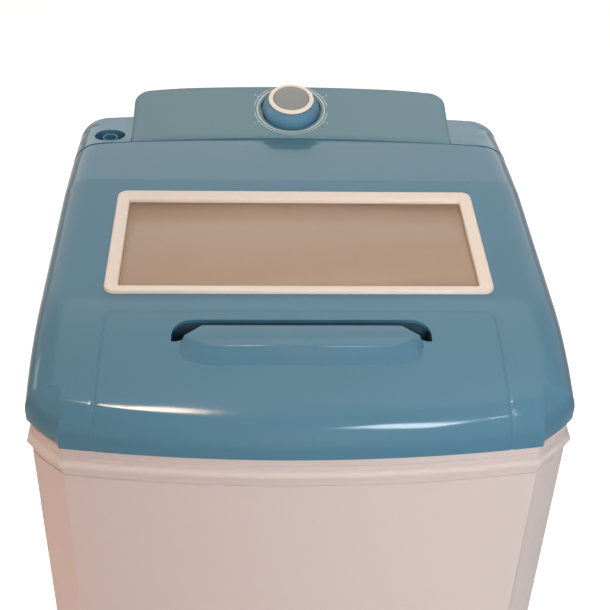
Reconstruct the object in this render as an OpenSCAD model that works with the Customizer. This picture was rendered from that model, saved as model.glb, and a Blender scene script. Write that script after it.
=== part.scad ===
// Single-tub laundry spin dryer: moulded cabinet, hinged lid with a window,
// timer console, perforated drum on a motor that hangs on three springs, and a
// brake that comes on as the lid opens.
// Millimetres. +Z up, front towards -Y, +X to the right seen from the front.
// Origin: middle of the footprint, on the floor.

/* [Cabinet] */
// Width over the lid
body_w = 430; // [420:1:440]
// Depth in the middle, front to back
body_d = 476; // [472:1:484]
// Height of the flat of the lid above the floor
lid_h = 667; // [655:1:690]
// How far the front and the back bow out in the middle
bow = 14; // [10:1:18]
// Half width of the middle of the front, between the cut-off corners
front_half = 187; // [182:1:190]
// Radius of the two back corners
back_r = 30; // [26:1:36]
// Wall of the large mouldings
wall = 3; // [2.6:0.1:3.4]
// Drop from the flat of the lid to its lower edge at the sides
lid_drop = 55; // [53:1:58]
// How far the middle of the front apron hangs below the rest of the edge
apron_lip = 4; // [2:0.5:5]
// Radius of the roll along the lid's sides
side_roll = 26; // [22:1:28]
// Radius of the roll down the lid's front
front_roll = 35; // [32:1:36]
// How far the bead under the lid stands out past the lid
bead_out = 1.8; // [1:0.1:2.2]

/* [Lid] */
// Gap between the lid and the console behind it
seam_gap = 2.4; // [2:0.1:3]
// Depth of the deck and console behind the seam, in the middle
deck_d = 79; // [77:1:82]
// Width of the window frame
win_w = 321; // [300:1:326]
// Depth of the window frame, front to back
win_d = 151.5; // [140:0.5:154]
// Width of the window frame's band
win_band = 11; // [9:0.5:13]
// Thickness of the window pane
pane_t = 3; // [2.5:0.1:3.2]
// Half width of the handle hump along its back edge
hump_half = 79; // [65:1:84]
// Widest opening angle of the lid, in degrees
lid_open = 95; // [80:1:95]
// Diameter of the hinge pins
hinge_d = 4.8; // [4:0.1:5.2]

/* [Console] */
// Width of the deck's wings, from the console's sides to the lid's outline
wing_w = 57; // [56:1:65]
// Slope of the console panel, in degrees
console_tilt = 12.5; // [10:0.5:14]
// Diameter of the timer knob's skirt
knob_d = 56.4; // [50:0.2:58]
// Diameter of the knob's light ring
knob_ring_d = 44.4; // [40:0.2:46]
// Height of the knob above the panel
knob_h = 18; // [15:0.5:20]
// Diameter of the timer's shaft
timer_shaft_d = 6; // [5:0.1:8]

/* [Tub and drum] */
// Diameter of the spin drum
drum_d = 320; // [300:2:324]
// Wall of the drum
drum_t = 1.5; // [1:0.1:2]
// Diameter of one hole in the drum
hole_d = 5; // [3:0.5:7]
// Inner diameter of the outer tub
tub_d = 364; // [360:1:368]
// Wall of the outer tub
tub_t = 2.5; // [2:0.1:3]
// Diameter of the mouth over the drum
mouth_d = 294; // [280:1:298]
// How far the drum's axis lies in front of the middle
drum_fwd = 20; // [16:1:24]
// Diameter of the drive shaft
shaft_d = 14; // [12:0.5:16]

/* [Drive] */
// Diameter of the motor's windings case
motor_d = 124; // [110:1:130]
// Diameter of the brake drum
brake_d = 104; // [100:1:106]
// Distance of the three springs from the drum's axis
leg_r = 150; // [145:1:152]
// Outer diameter of a suspension spring
spring_d = 31; // [29:0.5:33]
// Diameter of the suspension spring wire
wire_d = 3.2; // [2.6:0.1:3.6]
// Free turns of a suspension spring
spring_turns = 5; // [4:1:6]
// Angle that the brake arm swings, in degrees
brake_swing = 2.4; // [1:0.1:2.5]

/* [Hidden] */
$fn = 64;
e = 0.01;            // overshoot of a cut
fit_gap = 0.5;       // clearance of a lift-out moulding
run = 0.1;           // radial clearance of a turning fit

blue = [0.36, 0.50, 0.56];
white = [0.93, 0.90, 0.88];
greige = [0.60, 0.55, 0.51];
grey = [0.55, 0.55, 0.57];
steel = [0.72, 0.73, 0.75];
dark = [0.18, 0.18, 0.19];
black = [0.10, 0.10, 0.10];
zinc = [0.62, 0.64, 0.62];
rust = [0.55, 0.33, 0.22];

// ---- levels ----
foot_h = 14;
shell_z = foot_h + 4;                 // underside of the cabinet's wall
rim_z = lid_h - lid_drop;             // lower edge of the lid at the sides
shell_top = rim_z - 6;                // top of the cabinet's wall
bead_z = rim_z - 22;                  // middle of the bead
collar_z = rim_z - 12;                // underside of the collar's plate
collar_t = 3;
deck_z = rim_z - 2;                   // underside of the deck's floor
deck_t = 3;

// ---- outline of the cabinet seen from above ----
xs = body_w / 2;
yf = -body_d / 2;
yb = body_d / 2;
bow_r = (front_half * front_half + bow * bow) / (2 * bow);
yfc = yf + bow_r;                     // middle of the front bow's circle
ybc = yb - bow_r;                     // middle of the back bow's circle
fa = asin(front_half / bow_r);
cut_c = front_half - (yfc - sqrt(bow_r * bow_r - front_half * front_half));
rc_x = xs - back_r;
rc_y = ybc + sqrt(pow(bow_r - back_r, 2) - rc_x * rc_x);
ra = asin(rc_x / (bow_r - back_r));

// where the front bow meets the cut-off corner, for an outline drawn in by i
function cfx(i) = let (d = cut_c - i * sqrt(2) + yfc, r = bow_r - i)
  (d - sqrt(2 * r * r - d * d)) / 2;
function fy(x, i) = yfc - sqrt(pow(bow_r - i, 2) - x * x);
function front_pts(i, n = 8) = [for (j = [-n : n])
  let (x = abs(j) == n ? sign(j) * cfx(i) : (bow_r - i) * sin(fa * j / n)) [x, fy(x, i)]];
function corner_pts(i, n = 6) = [for (k = [0 : n]) let (a = (90 - ra) * k / n)
  [rc_x + (back_r - i) * cos(a), rc_y + (back_r - i) * sin(a)]];
function back_pts(i, n = 8) = [for (j = [n - 1 : -1 : 1 - n]) let (b = ra * j / n)
  [(bow_r - i) * sin(b), ybc + (bow_r - i) * cos(b)]];
function flip(p) = [for (k = [len(p) - 1 : -1 : 0]) [-p[k][0], p[k][1]]];
function cs_y(i) = xs - cut_c + i * (sqrt(2) - 1);
function plan_pts(i) = concat(front_pts(i), [[xs - i, cs_y(i)]], corner_pts(i),
  back_pts(i), flip(corner_pts(i)), [[i - xs, cs_y(i)]]);

module plan(i, z0, z1) {
  translate([0, 0, z0]) linear_extrude(z1 - z0) polygon(plan_pts(i));
}

module ring(i, t, z0, z1) {
  difference() {
    plan(i, z0, z1);
    plan(i + t, z0 - 1, z1 + 1);
  }
}

// ---- crowned top surface ----
seam_y = yb - deck_d;                 // seam behind the lid, in the middle
flat_y0 = yf + 138;                   // the flat starts here
flat_y1 = seam_y - 90;                // and ends at a faint crease
crest_r = 247;                        // radius of the crown in front of it
kink_y = seam_y - 13;
rise1 = 0.0867;                       // slope behind the crease
rise2 = 0.165;                        // slope of the deck
function crown(y) =
  y < flat_y0 ? lid_h - crest_r + sqrt(crest_r * crest_r - pow(flat_y0 - y, 2)) :
  y < flat_y1 ? lid_h :
  y < kink_y ? lid_h - (y - flat_y1) * rise1 :
  lid_h - (kink_y - flat_y1) * rise1 - (y - kink_y) * rise2;

// ---- loft of the rolled hood: stations from the back middle to the front ----
roll_a = 29;                          // steepness where the front roll starts
back_roll = 12;
roll_end = lid_h - 62;                // where the front roll turns plumb
corner_in = 2;                        // the corners lie behind the proud front
K = 6;
// station: [x, y, nx, ny, radius, start angle, front?]
function side_ys(o) = concat([seam_y + 31, seam_y + 9, kink_y, seam_y - 39, seam_y - 63, flat_y1,
  (flat_y0 + flat_y1) / 2], [for (k = [0 : 5]) flat_y0 - 16 * k], [cs_y(o)]);
function stations(o) = concat(
  [for (j = [0 : 5]) let (b = ra * (j + 0.5) / 6)
    [(bow_r - o) * sin(b), ybc + (bow_r - o) * cos(b), sin(b), cos(b), back_roll - o, 0, 0]],
  [for (k = [6 : -1 : 0]) let (a = (90 - ra) * k / 6)
    [rc_x + (back_r - o) * cos(a), rc_y + (back_r - o) * sin(a), cos(a), sin(a),
     side_roll + (back_roll - side_roll) * k / 6 - o, 0, 0]],
  [for (y = side_ys(o)) [xs - o, y, 1, 0, side_roll - o, 0, 0]],
  [let (x = cfx(o)) [x + 1, fy(x, o) + corner_in, sin(fa), -cos(fa),
    front_roll - corner_in - o, roll_a, 1]],
  [for (j = [6 : -1 : 0]) let (b = j == 6 ? fa : fa * (j + 0.5) / 6.5,
      x = j == 6 ? cfx(o) : (bow_r - o) * sin(b))
    [x, fy(x, o), sin(b), -cos(b), front_roll - o, roll_a, 1]]);
function hood_pt(s, o, k) = let (th = s[5] + (90 - s[5]) * k / K,
    off = s[4] * (1 - sin(th)), yt = s[1] - s[3] * s[4] * (1 - sin(s[5])),
    zt = crown(yt) - o, zb = s[6] == 1 ? roll_end : zt - s[4])
  [s[0] - s[2] * off, s[1] - s[3] * off, zb + (zt - zb) * cos(th) / cos(s[5])];
function mirror_x(p) = [for (k = [len(p) - 1 : -1 : 0]) [-p[k][0], p[k][1], p[k][2]]];

module hood(o) {
  low = rim_z - 30;
  st = stations(o);
  m = len(st);
  n = 2 * m;
  rings = [for (k = [0 : K]) let (r = [for (s = st) hood_pt(s, o, k)]) each concat(r, mirror_x(r))];
  foot = [for (s = st) [s[0], s[1], low]];
  polyhedron(points = concat(rings, foot, mirror_x(foot)), faces = concat(
    [for (k = [0 : K], s = [0 : n - 1]) let (t = (s + 1) % n)
      [k * n + s, (k + 1) * n + s, (k + 1) * n + t, k * n + t]],
    [for (i = [0 : m - 2]) [i, i + 1, n - 2 - i, n - 1 - i]],
    [[for (s = [n - 1 : -1 : 0]) (K + 1) * n + s]]), convexity = 6);
}

// the seam follows the bow of the back
seam_r = bow_r - deck_d;
function seam(x, r) = ybc + sqrt(r * r - x * x);
function seam_pts(r) = [for (x = [-xs - 20 : (2 * xs + 40) / 28 : xs + 20.1]) [x, seam(x, r)]];
module before_seam() {
  translate([0, 0, 400]) linear_extrude(400)
    polygon(concat([[-xs - 20, yf - 30]], seam_pts(seam_r), [[xs + 20, yf - 30]]));
}
module behind_seam(g) {
  translate([0, 0, 400]) linear_extrude(400)
    polygon(concat([[-xs - 20, yb + 30]], seam_pts(seam_r + g), [[xs + 20, yb + 30]]));
}

// ---- hinge ----
hinge_y = seam_y - 29;
hinge_z = lid_h - 17;
hinge_x = xs - 35;                    // middle of each hinge
post_w = 6;
lug_w = 4.5;
lug_gap = 1;
boss_r = 5.2;

// ---- window ----
win_y = seam_y - 113 - win_d / 2;     // middle of the frame
win_r = 9;
frame_top = lid_h + 3;
seat_z = lid_h - 4;                   // the frame's flange rests here
frame_low = lid_h - 7;
ledge = 4.5;
function rr_pts(w, d, r, n = 5) = [for (c = [0 : 3], k = [0 : n]) let (a = 90 * c + 90 * k / n,
    cx = (c == 0 || c == 3 ? 1 : -1) * (w / 2 - r), cy = (c < 2 ? 1 : -1) * (d / 2 - r))
  [cx + r * cos(a), cy + r * sin(a)]];
module rr(w, d, r, z0, z1) {
  translate([0, win_y, z0]) linear_extrude(z1 - z0) polygon(rr_pts(w, d, r));
}

// ---- handle ----
hump_back = yf + 90.5;
hump_front = hump_back - 25.5;
hump_foot = hump_front - 6;
hump_top = lid_h + 1;
slot_back = hump_back + 11;
hump_side = hump_half + 21;
pocket_half = hump_half + 24;
pocket_low = lid_h - 35;

// ---- console ----
con_r1 = seam_r + seam_gap;
con_r2 = bow_r - 1;
con_half = xs - wing_w;
console_w = 2 * con_half;
con_z1 = crown(seam_y) + 2;
con_low = deck_z + deck_t;
con_z2 = con_z1 + (con_r2 - con_r1) * tan(console_tilt);
con_in_r = bow_r - wall - 0.3;
con_step = rim_z + 22;
knob_s = 41;                          // knob's place up the slope
knob_y = seam_y + seam_gap + knob_s * cos(console_tilt);
knob_z = con_z1 + knob_s * sin(console_tilt);
recess_d = knob_d + 3.6;
recess_h = 2.5;
module at_knob() {
  translate([0, knob_y, knob_z]) rotate([console_tilt, 0, 0]) children();
}

// ---- inlet ----
in_x = -(xs - 35);
in_y = rc_y - 27;
pocket_r = 15;
pocket_z = rim_z + 32;
noz_r = 7.5;
noz_t = 1.75;
hose_t = 2.5;

// ---- tub, drum, drive ----
cy = -drum_fwd;
tub_r = tub_d / 2;
plate_z = 124;                        // underside of the motor plate
plate_t = 4;
tub_low = plate_z + 91;               // underside of the tub's floor
tub_top = collar_z;
drum_r = drum_d / 2;
drum_top = collar_z - 22;
drum_low = tub_low + 35;
shaft_r = shaft_d / 2;
brake_r = brake_d / 2;
brake_z = plate_z + 10;
brake_h = 18;
motor_r = motor_d / 2;
tower_z = 58;
cup_t = 3;
legs = [[0, leg_r], [-leg_r * cos(30), -leg_r / 2], [leg_r * cos(30), -leg_r / 2]];
module at_drum() {
  translate([0, cy, 0]) children();
}
module tube(r, t, z0, z1) {
  translate([0, 0, z0]) difference() {
    cylinder(r = r, h = z1 - z0);
    translate([0, 0, -1]) cylinder(r = r - t, h = z1 - z0 + 2);
  }
}

// =============== cabinet ===============
shell_in = 1.5;                       // the cabinet lies this far inside the lid's outline
vent_w = 148;
vent_lo = 112;
vent_hi = 408;
foot_x = xs - 47;
foot_y = yb - 62;
base_screw_pts = [for (s = [-1, 1], y = [-120, 120]) [s, y]];

module bead() {
  for (q = [[0.35, 4.2], [0.75, 3.4], [1, 2.4]])
    plan(shell_in - (bead_out + shell_in) * q[0], bead_z - q[1], bead_z + q[1]);
}

// The rim with the bead is a moulding of its own. A skirt inside holds it in the cabinet.
joint_z = bead_z - 11.2;
line_d = 0.7;                         // the joint shows as a fine line
line_h = 0.8;
skirt_t = 2.5;
module top_rim() color(white) difference() {
  union() {
    plan(shell_in + line_d, joint_z, joint_z + line_h + e);
    plan(shell_in, joint_z + line_h, bead_z + 4);
    plan(shell_in + line_d, bead_z + 4 - e, bead_z + 9);
    plan(shell_in + 2 * line_d, bead_z + 9 - e, shell_top);
    bead();
    plan(shell_in + wall + 0.3, joint_z - 12, joint_z + e);
  }
  plan(shell_in + wall + 0.3 + skirt_t, joint_z - 13, joint_z + 5);
  plan(shell_in + wall, joint_z + 5 - e, collar_z - 3);
  plan(shell_in + wall + 10, collar_z - 4, shell_top + 1);
  plan(shell_in + wall + 0.8, collar_z, shell_top + 1);
}

module body_shell() color(white) difference() {
  union() {
    difference() {
      union() {
        plan(shell_in, shell_z, joint_z - line_h);
        plan(shell_in + line_d, joint_z - line_h - e, joint_z);
      }
      plan(shell_in + wall, shell_z - 1, joint_z + 1);
    }
    intersection() {
      translate([sump_x, out_y - cup_d - 2.5, drain_z]) rotate([-90, 0, 0]) cylinder(r = cup_r + 2.5, h = 60);
      plan(shell_in + wall / 2, 0, 200);
    }
  }
  // service opening in the back
  translate([-vent_w, 150, vent_lo]) cube([2 * vent_w, 120, vent_hi - vent_lo]);
  for (p = panel_pts) translate([p[0], 150, p[1]]) rotate([-90, 0, 0]) cylinder(r = 1.6, h = 120);
  for (q = base_screw_pts) translate([0, q[1], shell_z + 8]) rotate([0, q[0] * 90, 0])
    translate([0, 0, xs - 60]) cylinder(r = 2.1, h = 100);
  // drain recess and cord hole
  translate([sump_x, out_y - cup_d, drain_z]) rotate([-90, 0, 0]) {
    cylinder(r = cup_r, h = 100);
    translate([0, 0, -10]) cylinder(r = drain_r + 0.1, h = 20);
  }
  translate([gland_x, 150, gland_z]) rotate([-90, 0, 0]) cylinder(r = 6.6, h = 120);
}

panel_pts = [for (s = [-1, 1], z = [vent_lo - 6, (vent_lo + vent_hi) / 2, vent_hi + 6])
  [s * (vent_w + 6), z]];
panel_t = 2;
module rear_panel() color(white) difference() {
  intersection() {
    ring(shell_in - panel_t, panel_t, vent_lo - 12, vent_hi + 12);
    translate([-vent_w - 12, 100, 0]) cube([2 * vent_w + 24, 200, 700]);
  }
  for (k = [0 : 9], s = [-1, 1]) translate([s * 55 - 32, 150, vent_lo + 20 + k * 9])
    cube([64, 120, 4]);
  for (p = panel_pts) translate([p[0], 150, p[1]]) rotate([-90, 0, 0]) cylinder(r = 2.1, h = 120);
}
function back_y(x, i) = ybc + sqrt(pow(bow_r - i, 2) - x * x);
module panel_screws() color(zinc) for (p = panel_pts)
  translate([p[0], back_y(p[0], shell_in - panel_t) + 0.35, p[1]]) rotate([-90, 0, 0]) {
    difference() {
      cylinder(r = 4, h = 1.8);
      translate([-3, -0.4, 1]) cube([6, 0.8, 2]);
    }
    translate([0, 0, -12]) cylinder(r = 1.55, h = 12 + e);
  }

tray_in = shell_in + wall + fit_gap;
module base_tray() color(dark) difference() {
  union() {
    plan(shell_in, foot_h, shell_z);
    ring(tray_in, 3, shell_z - e, shell_z + 16);
    for (p = legs) translate([p[0], p[1] + cy, shell_z - e]) {
      tube(20, 3, 0, tower_z - shell_z + e);
      translate([0, 0, tower_z - shell_z - 3]) cylinder(r = 20, h = 3 + e);
      for (a = [0, 90]) rotate([0, 0, a]) translate([-18, -1.5, 0]) cube([36, 3, tower_z - shell_z - 2]);
      for (a = [45 : 90 : 315]) rotate([0, 0, a]) translate([18.5, -1.5, 0]) cube([10, 3, 18]);
    }
    for (q = base_screw_pts) translate([q[0] * (xs - tray_in - 9) - 5, q[1] - 6, shell_z - e])
      cube([10, 12, 16]);
    translate([cap_x - 26, cap_y - 4, shell_z - e]) cube([52, 8, 6]);
  }
  // air in under the motor, and drain holes
  for (r = [26, 42, 58], a = [0 : 45 : 315]) translate([0, cy, foot_h - 1]) rotate([0, 0, a + r])
    translate([r, 0, 0]) cylinder(r = 5, h = 8);
  for (s = [-1, 1], t = [-1, 1]) translate([s * foot_x, t * foot_y, foot_h - 1]) cylinder(r = 5.2, h = 20);
  for (q = base_screw_pts) translate([0, q[1], shell_z + 8]) rotate([0, q[0] * 90, 0])
    translate([0, 0, xs - 60]) cylinder(r = 1.75, h = 90);
}

module feet() color(black) for (s = [-1, 1], t = [-1, 1]) translate([s * foot_x, t * foot_y, 0])
  rotate_extrude() polygon([[0, 0], [15.5, 0], [17, 1.5], [18.5, foot_h], [5, foot_h],
    [5, foot_h + 4.2], [6.8, foot_h + 4.2], [4, foot_h + 9], [0, foot_h + 9]]);

module base_screws() color(zinc) for (q = base_screw_pts)
  translate([q[0] * (xs - shell_in), q[1], shell_z + 8]) rotate([0, q[0] * 90, 0]) {
    cylinder(r = 4, h = 2.2);
    translate([0, 0, -14]) cylinder(r = 1.75, h = 14 + e);
  }

// =============== deck and console ===============
module rear_deck() color(blue) difference() {
  union() {
    intersection() {
      difference() {
        hood(0);
        hood(wall);
      }
      behind_seam(seam_gap);
      translate([-xs - 5, -xs, rim_z - 4]) cube([body_w + 10, body_d, 100]);
    }
    // walls across the front of the two wings
    intersection() {
      hood(wall / 2);
      difference() {
        behind_seam(seam_gap + 2);
        behind_seam(seam_gap + 2 + wall);
      }
      translate([-xs - 5, -xs, deck_z]) cube([body_w + 10, body_d, 100]);
    }
    // floor, which the hinge posts stand on
    intersection() {
      plan(wall / 2, deck_z, deck_z + deck_t);
      translate([-xs, seam_y - 44, 500]) cube([body_w, body_d, 200]);
    }
    for (s = [-1, 1]) translate([s * hinge_x, hinge_y, 0]) {
      translate([-post_w / 2, -boss_r, deck_z + e]) cube([post_w, boss_r + 2, hinge_z - deck_z]);
      translate([-post_w / 2, 0, hinge_z]) rotate([0, 90, 0]) cylinder(r = boss_r, h = post_w);
      translate([-post_w / 2 - 6, -boss_r - 3, deck_z + e]) cube([post_w + 12, boss_r + 6, 5]);
    }
    // skirt that stands on the collar
    intersection() {
      ring(collar_in + 2.5, wall, collar_z + collar_t, deck_z + 1);
      translate([-xs, seam_y - 44, 500]) cube([body_w, body_d, 200]);
    }
    // cup of the water inlet, cut off under the skin
    difference() {
      translate([in_x, in_y, pocket_z - 2.5]) cylinder(r = pocket_r + 2.5, h = 40);
      translate([in_x, in_y, crown(in_y) - 1.6]) rotate([-atan(rise2), 0, 0]) translate([-40, -60, 0])
        cube([80, 120, 60]);
    }
  }
  for (p = deck_pts) translate([p[0], p[1], deck_z - 1]) cylinder(r = 2.1, h = 6);
  // floor is cut back inside the lid's swing at the sides
  for (s = [-1, 1]) translate([s > 0 ? xs - wall - 6 : -xs - 1, 0, deck_z - 1])
    cube([wall + 7, seam_y - 18, 5]);
  // seat of the console
  translate([-con_half - 0.3, seam_y - 25, con_step]) cube([console_w + 0.6, 200, 100]);
  intersection() {
    translate([-con_half - 0.3, seam_y - 18, con_low]) cube([console_w + 0.6, 200, 100]);
    plan(wall, con_low - 1, lid_h);
  }
  translate([-con_half + 12, seam_y + 14, deck_z - 1]) cube([console_w - 24, 42, 6]);
  translate([in_x, in_y, pocket_z]) cylinder(r = pocket_r, h = 60);
  translate([in_x, in_y, pocket_z - 10]) cylinder(r = noz_r + 0.1, h = 20);
  translate([in_x, in_y, deck_z - 1]) cylinder(r = noz_r + hose_t + 2, h = 6);
  for (s = [-1, 1]) translate([s * hinge_x - 10, hinge_y, hinge_z]) rotate([0, 90, 0])
    cylinder(r = hinge_d / 2 + run, h = 20);
}

deck_pts = [[-100, seam_y - 9], [100, seam_y - 9], [-con_half + 9, yb - 32], [con_half - 9, yb - 32]];
module deck_screws() color(zinc) for (p = deck_pts) translate([p[0], p[1], deck_z + deck_t]) {
  translate([0, 0, -24]) cylinder(r = 1.7, h = 24 + e);
  cylinder(r = 3.9, h = 2);
}

con_arc = 9;
module con_rev(pts) {
  translate([0, ybc, 0]) rotate([0, 0, 90 - con_arc]) rotate_extrude(angle = 2 * con_arc, $fn = 720)
    polygon(pts);
}
con_corner = 18;
function con_plan(i) = let (x = con_half - i, r = con_corner - i,
    yc = back_y(con_half - con_corner, 1) - con_corner - 1.6)
  concat([[-x, 100], [x, 100]],
    [for (k = [0 : 8]) let (a = 90 * k / 8) [x - r + r * cos(a), yc + r * sin(a)]],
    [[x - r - 26, yc + r + 3.2 + 12], [-(x - r - 26), yc + r + 3.2 + 12]],
    [for (k = [0 : 8]) let (a = 90 + 90 * k / 8) [-x + r + r * cos(a), yc + r * sin(a)]]);
module console() color(blue) difference() {
  union() {
    difference() {
      intersection() {
        con_rev([[con_r1 + 1, con_low], [con_in_r, con_low], [con_in_r, con_step + 0.2],
          [con_r2, con_step + 0.2], [con_r2, con_z2], [con_r1, con_z1],
          [con_r1, con_z1 - 3.4], [con_r1 + 1, con_z1 - 3.4]]);
        translate([0, 0, 500]) linear_extrude(300) polygon(con_plan(0));
      }
      intersection() {
        con_rev([[con_r1 + 1 + wall, con_low - 1], [con_in_r - wall, con_low - 1],
          [con_in_r - wall, con_z2 - wall * 1.6], [con_r1 + 1 + wall, con_z1 - wall + 0.9]]);
        translate([0, 0, 499]) linear_extrude(302) polygon(con_plan(wall));
      }
    }
    intersection() {
      at_knob() translate([0, 0, -recess_h - 3.5]) cylinder(r = recess_d / 2 + 3, h = recess_h + 3);
      con_rev([[con_r1 + 2, con_low], [con_in_r - 1, con_low], [con_in_r - 1, con_z2], [con_r1 + 2, con_z1]]);
    }
  }
  at_knob() {
    translate([0, 0, -recess_h]) cylinder(r = recess_d / 2, h = 20);
    translate([0, 0, -20]) cylinder(r = timer_shaft_d / 2 + 1, h = 30);
  }
}

module at_case() { at_knob() translate([0, 0, -recess_h - 3.5]) children(); }
module timer_case() color(greige) at_case() difference() {
  union() {
    translate([-27, -19, -27]) cube([54, 38, 26]);
    translate([-35, -10, -3]) cube([70, 20, 3]);
    translate([-22, -15, -33]) cube([12, 30, 6 + e]);
  }
  translate([0, 0, -40]) cylinder(r = timer_shaft_d / 2 + run, h = 60);
}
module timer_shaft() color(steel) at_knob() {
  translate([0, 0, -22]) cylinder(r = timer_shaft_d / 2, h = 22 + knob_h * 0.6);
}
grip_z = knob_h - 4;
module knob_skirt() color(blue) at_knob() difference() {
  rotate_extrude() polygon([[0, -1.9], [knob_d / 2 - 1, -1.9], [knob_d / 2, -0.9], [knob_d / 2, 1.5],
    [knob_d / 2 - 0.8, 4.5], [knob_d / 2 - 2.6, 8.6], [knob_ring_d / 2 + 1, grip_z - 1.4],
    [knob_ring_d / 2, grip_z - 0.6], [knob_ring_d / 2 - 0.4, grip_z], [0, grip_z]]);
  translate([0, 0, -3]) cylinder(r = timer_shaft_d / 2, h = 3 + knob_h * 0.6);
  translate([0, 0, -3]) tube(20, 11, 0, 8);
}
module knob_ring() color(white) at_knob() rotate_extrude() polygon([[knob_ring_d / 2 - 4.4, grip_z],
  [knob_ring_d / 2 - 0.6, grip_z], [knob_ring_d / 2, grip_z + 0.8], [knob_ring_d / 2 - 0.2, grip_z + 1.6],
  [knob_ring_d / 2 - 3.6, knob_h - 0.4], [knob_ring_d / 2 - 4.4, knob_h - 0.6]]);
module knob_cap() color(grey) at_knob() difference() {
  translate([0, 0, grip_z]) cylinder(r = knob_ring_d / 2 - 4.4, h = 30);
  difference() {
    translate([0, 0, grip_z - 1]) cylinder(r = knob_ring_d, h = 60);
    translate([0, 0, knob_h + 1 - 130]) sphere(r = 130, $fn = 180);
  }
}

module inlet_nozzle() color(blue) translate([in_x, in_y, 0]) difference() {
  union() {
    translate([0, 0, pocket_z - 22]) cylinder(r = noz_r, h = 33);
    translate([0, 0, pocket_z + e]) cylinder(r = noz_r + 3, h = 2);
  }
  translate([0, 0, pocket_z - 23]) cylinder(r = noz_r - noz_t, h = 40);
}

// hose from the nozzle down and round into the tub's side
in_a = atan2(in_y - cy, in_x);
in_dist = sqrt(in_x * in_x + pow(in_y - cy, 2));
in_bend = 30;
in_low = rim_z - 62;                  // height of the stub on the tub
module bend(r, t, br, a = 90) {
  rotate_extrude(angle = a) translate([br, 0]) difference() {
    circle(r = r);
    circle(r = r - t);
  }
}
module inlet_hose() color(dark) translate([in_x, in_y, in_low]) rotate([0, 0, in_a + 90]) {
  hr = noz_r + hose_t;
  tube(hr, hose_t, in_bend, pocket_z - 3 - in_low);
  translate([0, in_bend, in_bend]) rotate([90, 0, 90]) rotate([0, 0, 180]) bend(hr, hose_t, in_bend);
  translate([0, in_bend, 0]) rotate([-90, 0, 0]) tube(hr, hose_t, 0, in_dist - in_bend - tub_r - tub_t - 2);
}

// =============== lid ===============
module lid() color(blue) difference() {
  union() {
    difference() {
      intersection() {
        union() {
          difference() {
            hood(0);
            hood(wall);
          }
          // pad round the window, under the skin
          rr(win_w + 12, win_d + 12, win_r + 4, frame_low - 1, lid_h - 1);
          intersection() {
            hood(wall / 2);
            union() {
              // tray of the finger pocket
              translate([-pocket_half - 2.5, hump_front - 1, pocket_low - 2.5])
                cube([2 * pocket_half + 5, slot_back - hump_front + 3.5, 60]);
              // pads that come down on the buffers
              for (s = [-1, 1]) translate([s * bump_x - 5, bump_y - 5, bump_top + 0.3]) cube([10, 10, 40]);
              // tongue that works the switch
              translate([switch_x + 9, switch_y + 3, switch_top + 0.4]) cube([6, 8, 60]);
            }
          }
        }
        before_seam();
      }
      // only the proud middle of the apron hangs lower
      translate([-xs - 5, yf - 5, rim_z - 50]) cube([body_w + 10, body_d + 10, 50 - apron_lip]);
      translate([-xs - 5, yf + 50, rim_z - 20]) cube([body_w + 10, body_d, 20]);
      for (s = [-1, 1]) translate([s * (cfx(0) - 0.4 + 25) - 25, yf - 5, rim_z - 20]) cube([50, 60, 20]);
      translate([0, 0, pocket_low + 10]) linear_extrude(60) polygon(slot_pts);
    }
    hump();
    // hinge lugs
    for (s = [-1, 1], t = [-1, 1])
      translate([s * hinge_x + t * (post_w / 2 + lug_gap + lug_w / 2) - lug_w / 2, hinge_y, 0]) {
        translate([0, -boss_r, hinge_z]) cube([lug_w, 2 * boss_r, crown(hinge_y) - hinge_z - 1]);
        translate([0, 0, hinge_z]) rotate([0, 90, 0]) cylinder(r = boss_r, h = lug_w);
      }
  }
  rr(win_w + 0.3, win_d + 0.3, win_r + 0.15, seat_z, lid_h + 20);
  rr(win_w - 2 * ledge + 0.3, win_d - 2 * ledge + 0.3, win_r - 3, frame_low - 10, lid_h + 20);
  // finger pocket, and the hollow under the hump
  translate([-pocket_half, hump_front + 2, pocket_low])
    cube([2 * pocket_half, slot_back - hump_front - 2, crown(hump_foot) - 3 - pocket_low]);
  translate([-hump_half + 3, hump_front + 2, pocket_low + 1])
    cube([2 * hump_half - 6, hump_back - hump_front, hump_top - 4 - pocket_low - 1]);
  for (s = [-1, 1]) translate([s * hinge_x - 15, hinge_y, hinge_z]) rotate([0, 90, 0])
    cylinder(r = hinge_d / 2, h = 30);
}
// U-shaped slot: behind the hump and down its two ends
function slot_side(s) = [for (k = [0 : 6]) let (a = 90 * k / 6)
  [s * (pocket_half - 16 + 16 * sin(a)), slot_back - 16 + 16 * cos(a)]];
slot_half = concat(slot_side(1), [[pocket_half, hump_back - 11], [hump_side - 1, hump_back - 11],
  [hump_side - 12, hump_back - 7.5], [hump_half - 2, hump_back - 2.5]]);
slot_pts = concat(slot_half, [for (k = [len(slot_half) - 1 : -1 : 0]) [-slot_half[k][0], slot_half[k][1]]]);

module hump() {
  low = crown(hump_foot) - 2;
  lower = [[hump_half, hump_back], [hump_side - 1, hump_back - 17.5], [hump_side - 3, hump_foot]];
  upper = [[hump_half, hump_back], [hump_half + 14, hump_back - 13], [hump_half - 3, hump_front]];
  function both(p) = concat(p, [for (k = [len(p) - 1 : -1 : 0]) [-p[k][0], p[k][1]]]);
  lo = both(lower);
  up = both(upper);
  n = len(lo);
  polyhedron(points = concat([for (p = up) [p[0], p[1], hump_top]], [for (p = lo) [p[0], p[1], low]]),
    faces = concat([[for (k = [0 : n - 1]) k]], [[for (k = [n - 1 : -1 : 0]) n + k]],
      [for (k = [0 : n - 1]) let (j = (k + 1) % n) each [[k, n + k, j], [n + k, n + j, j]]]));
}

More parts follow.
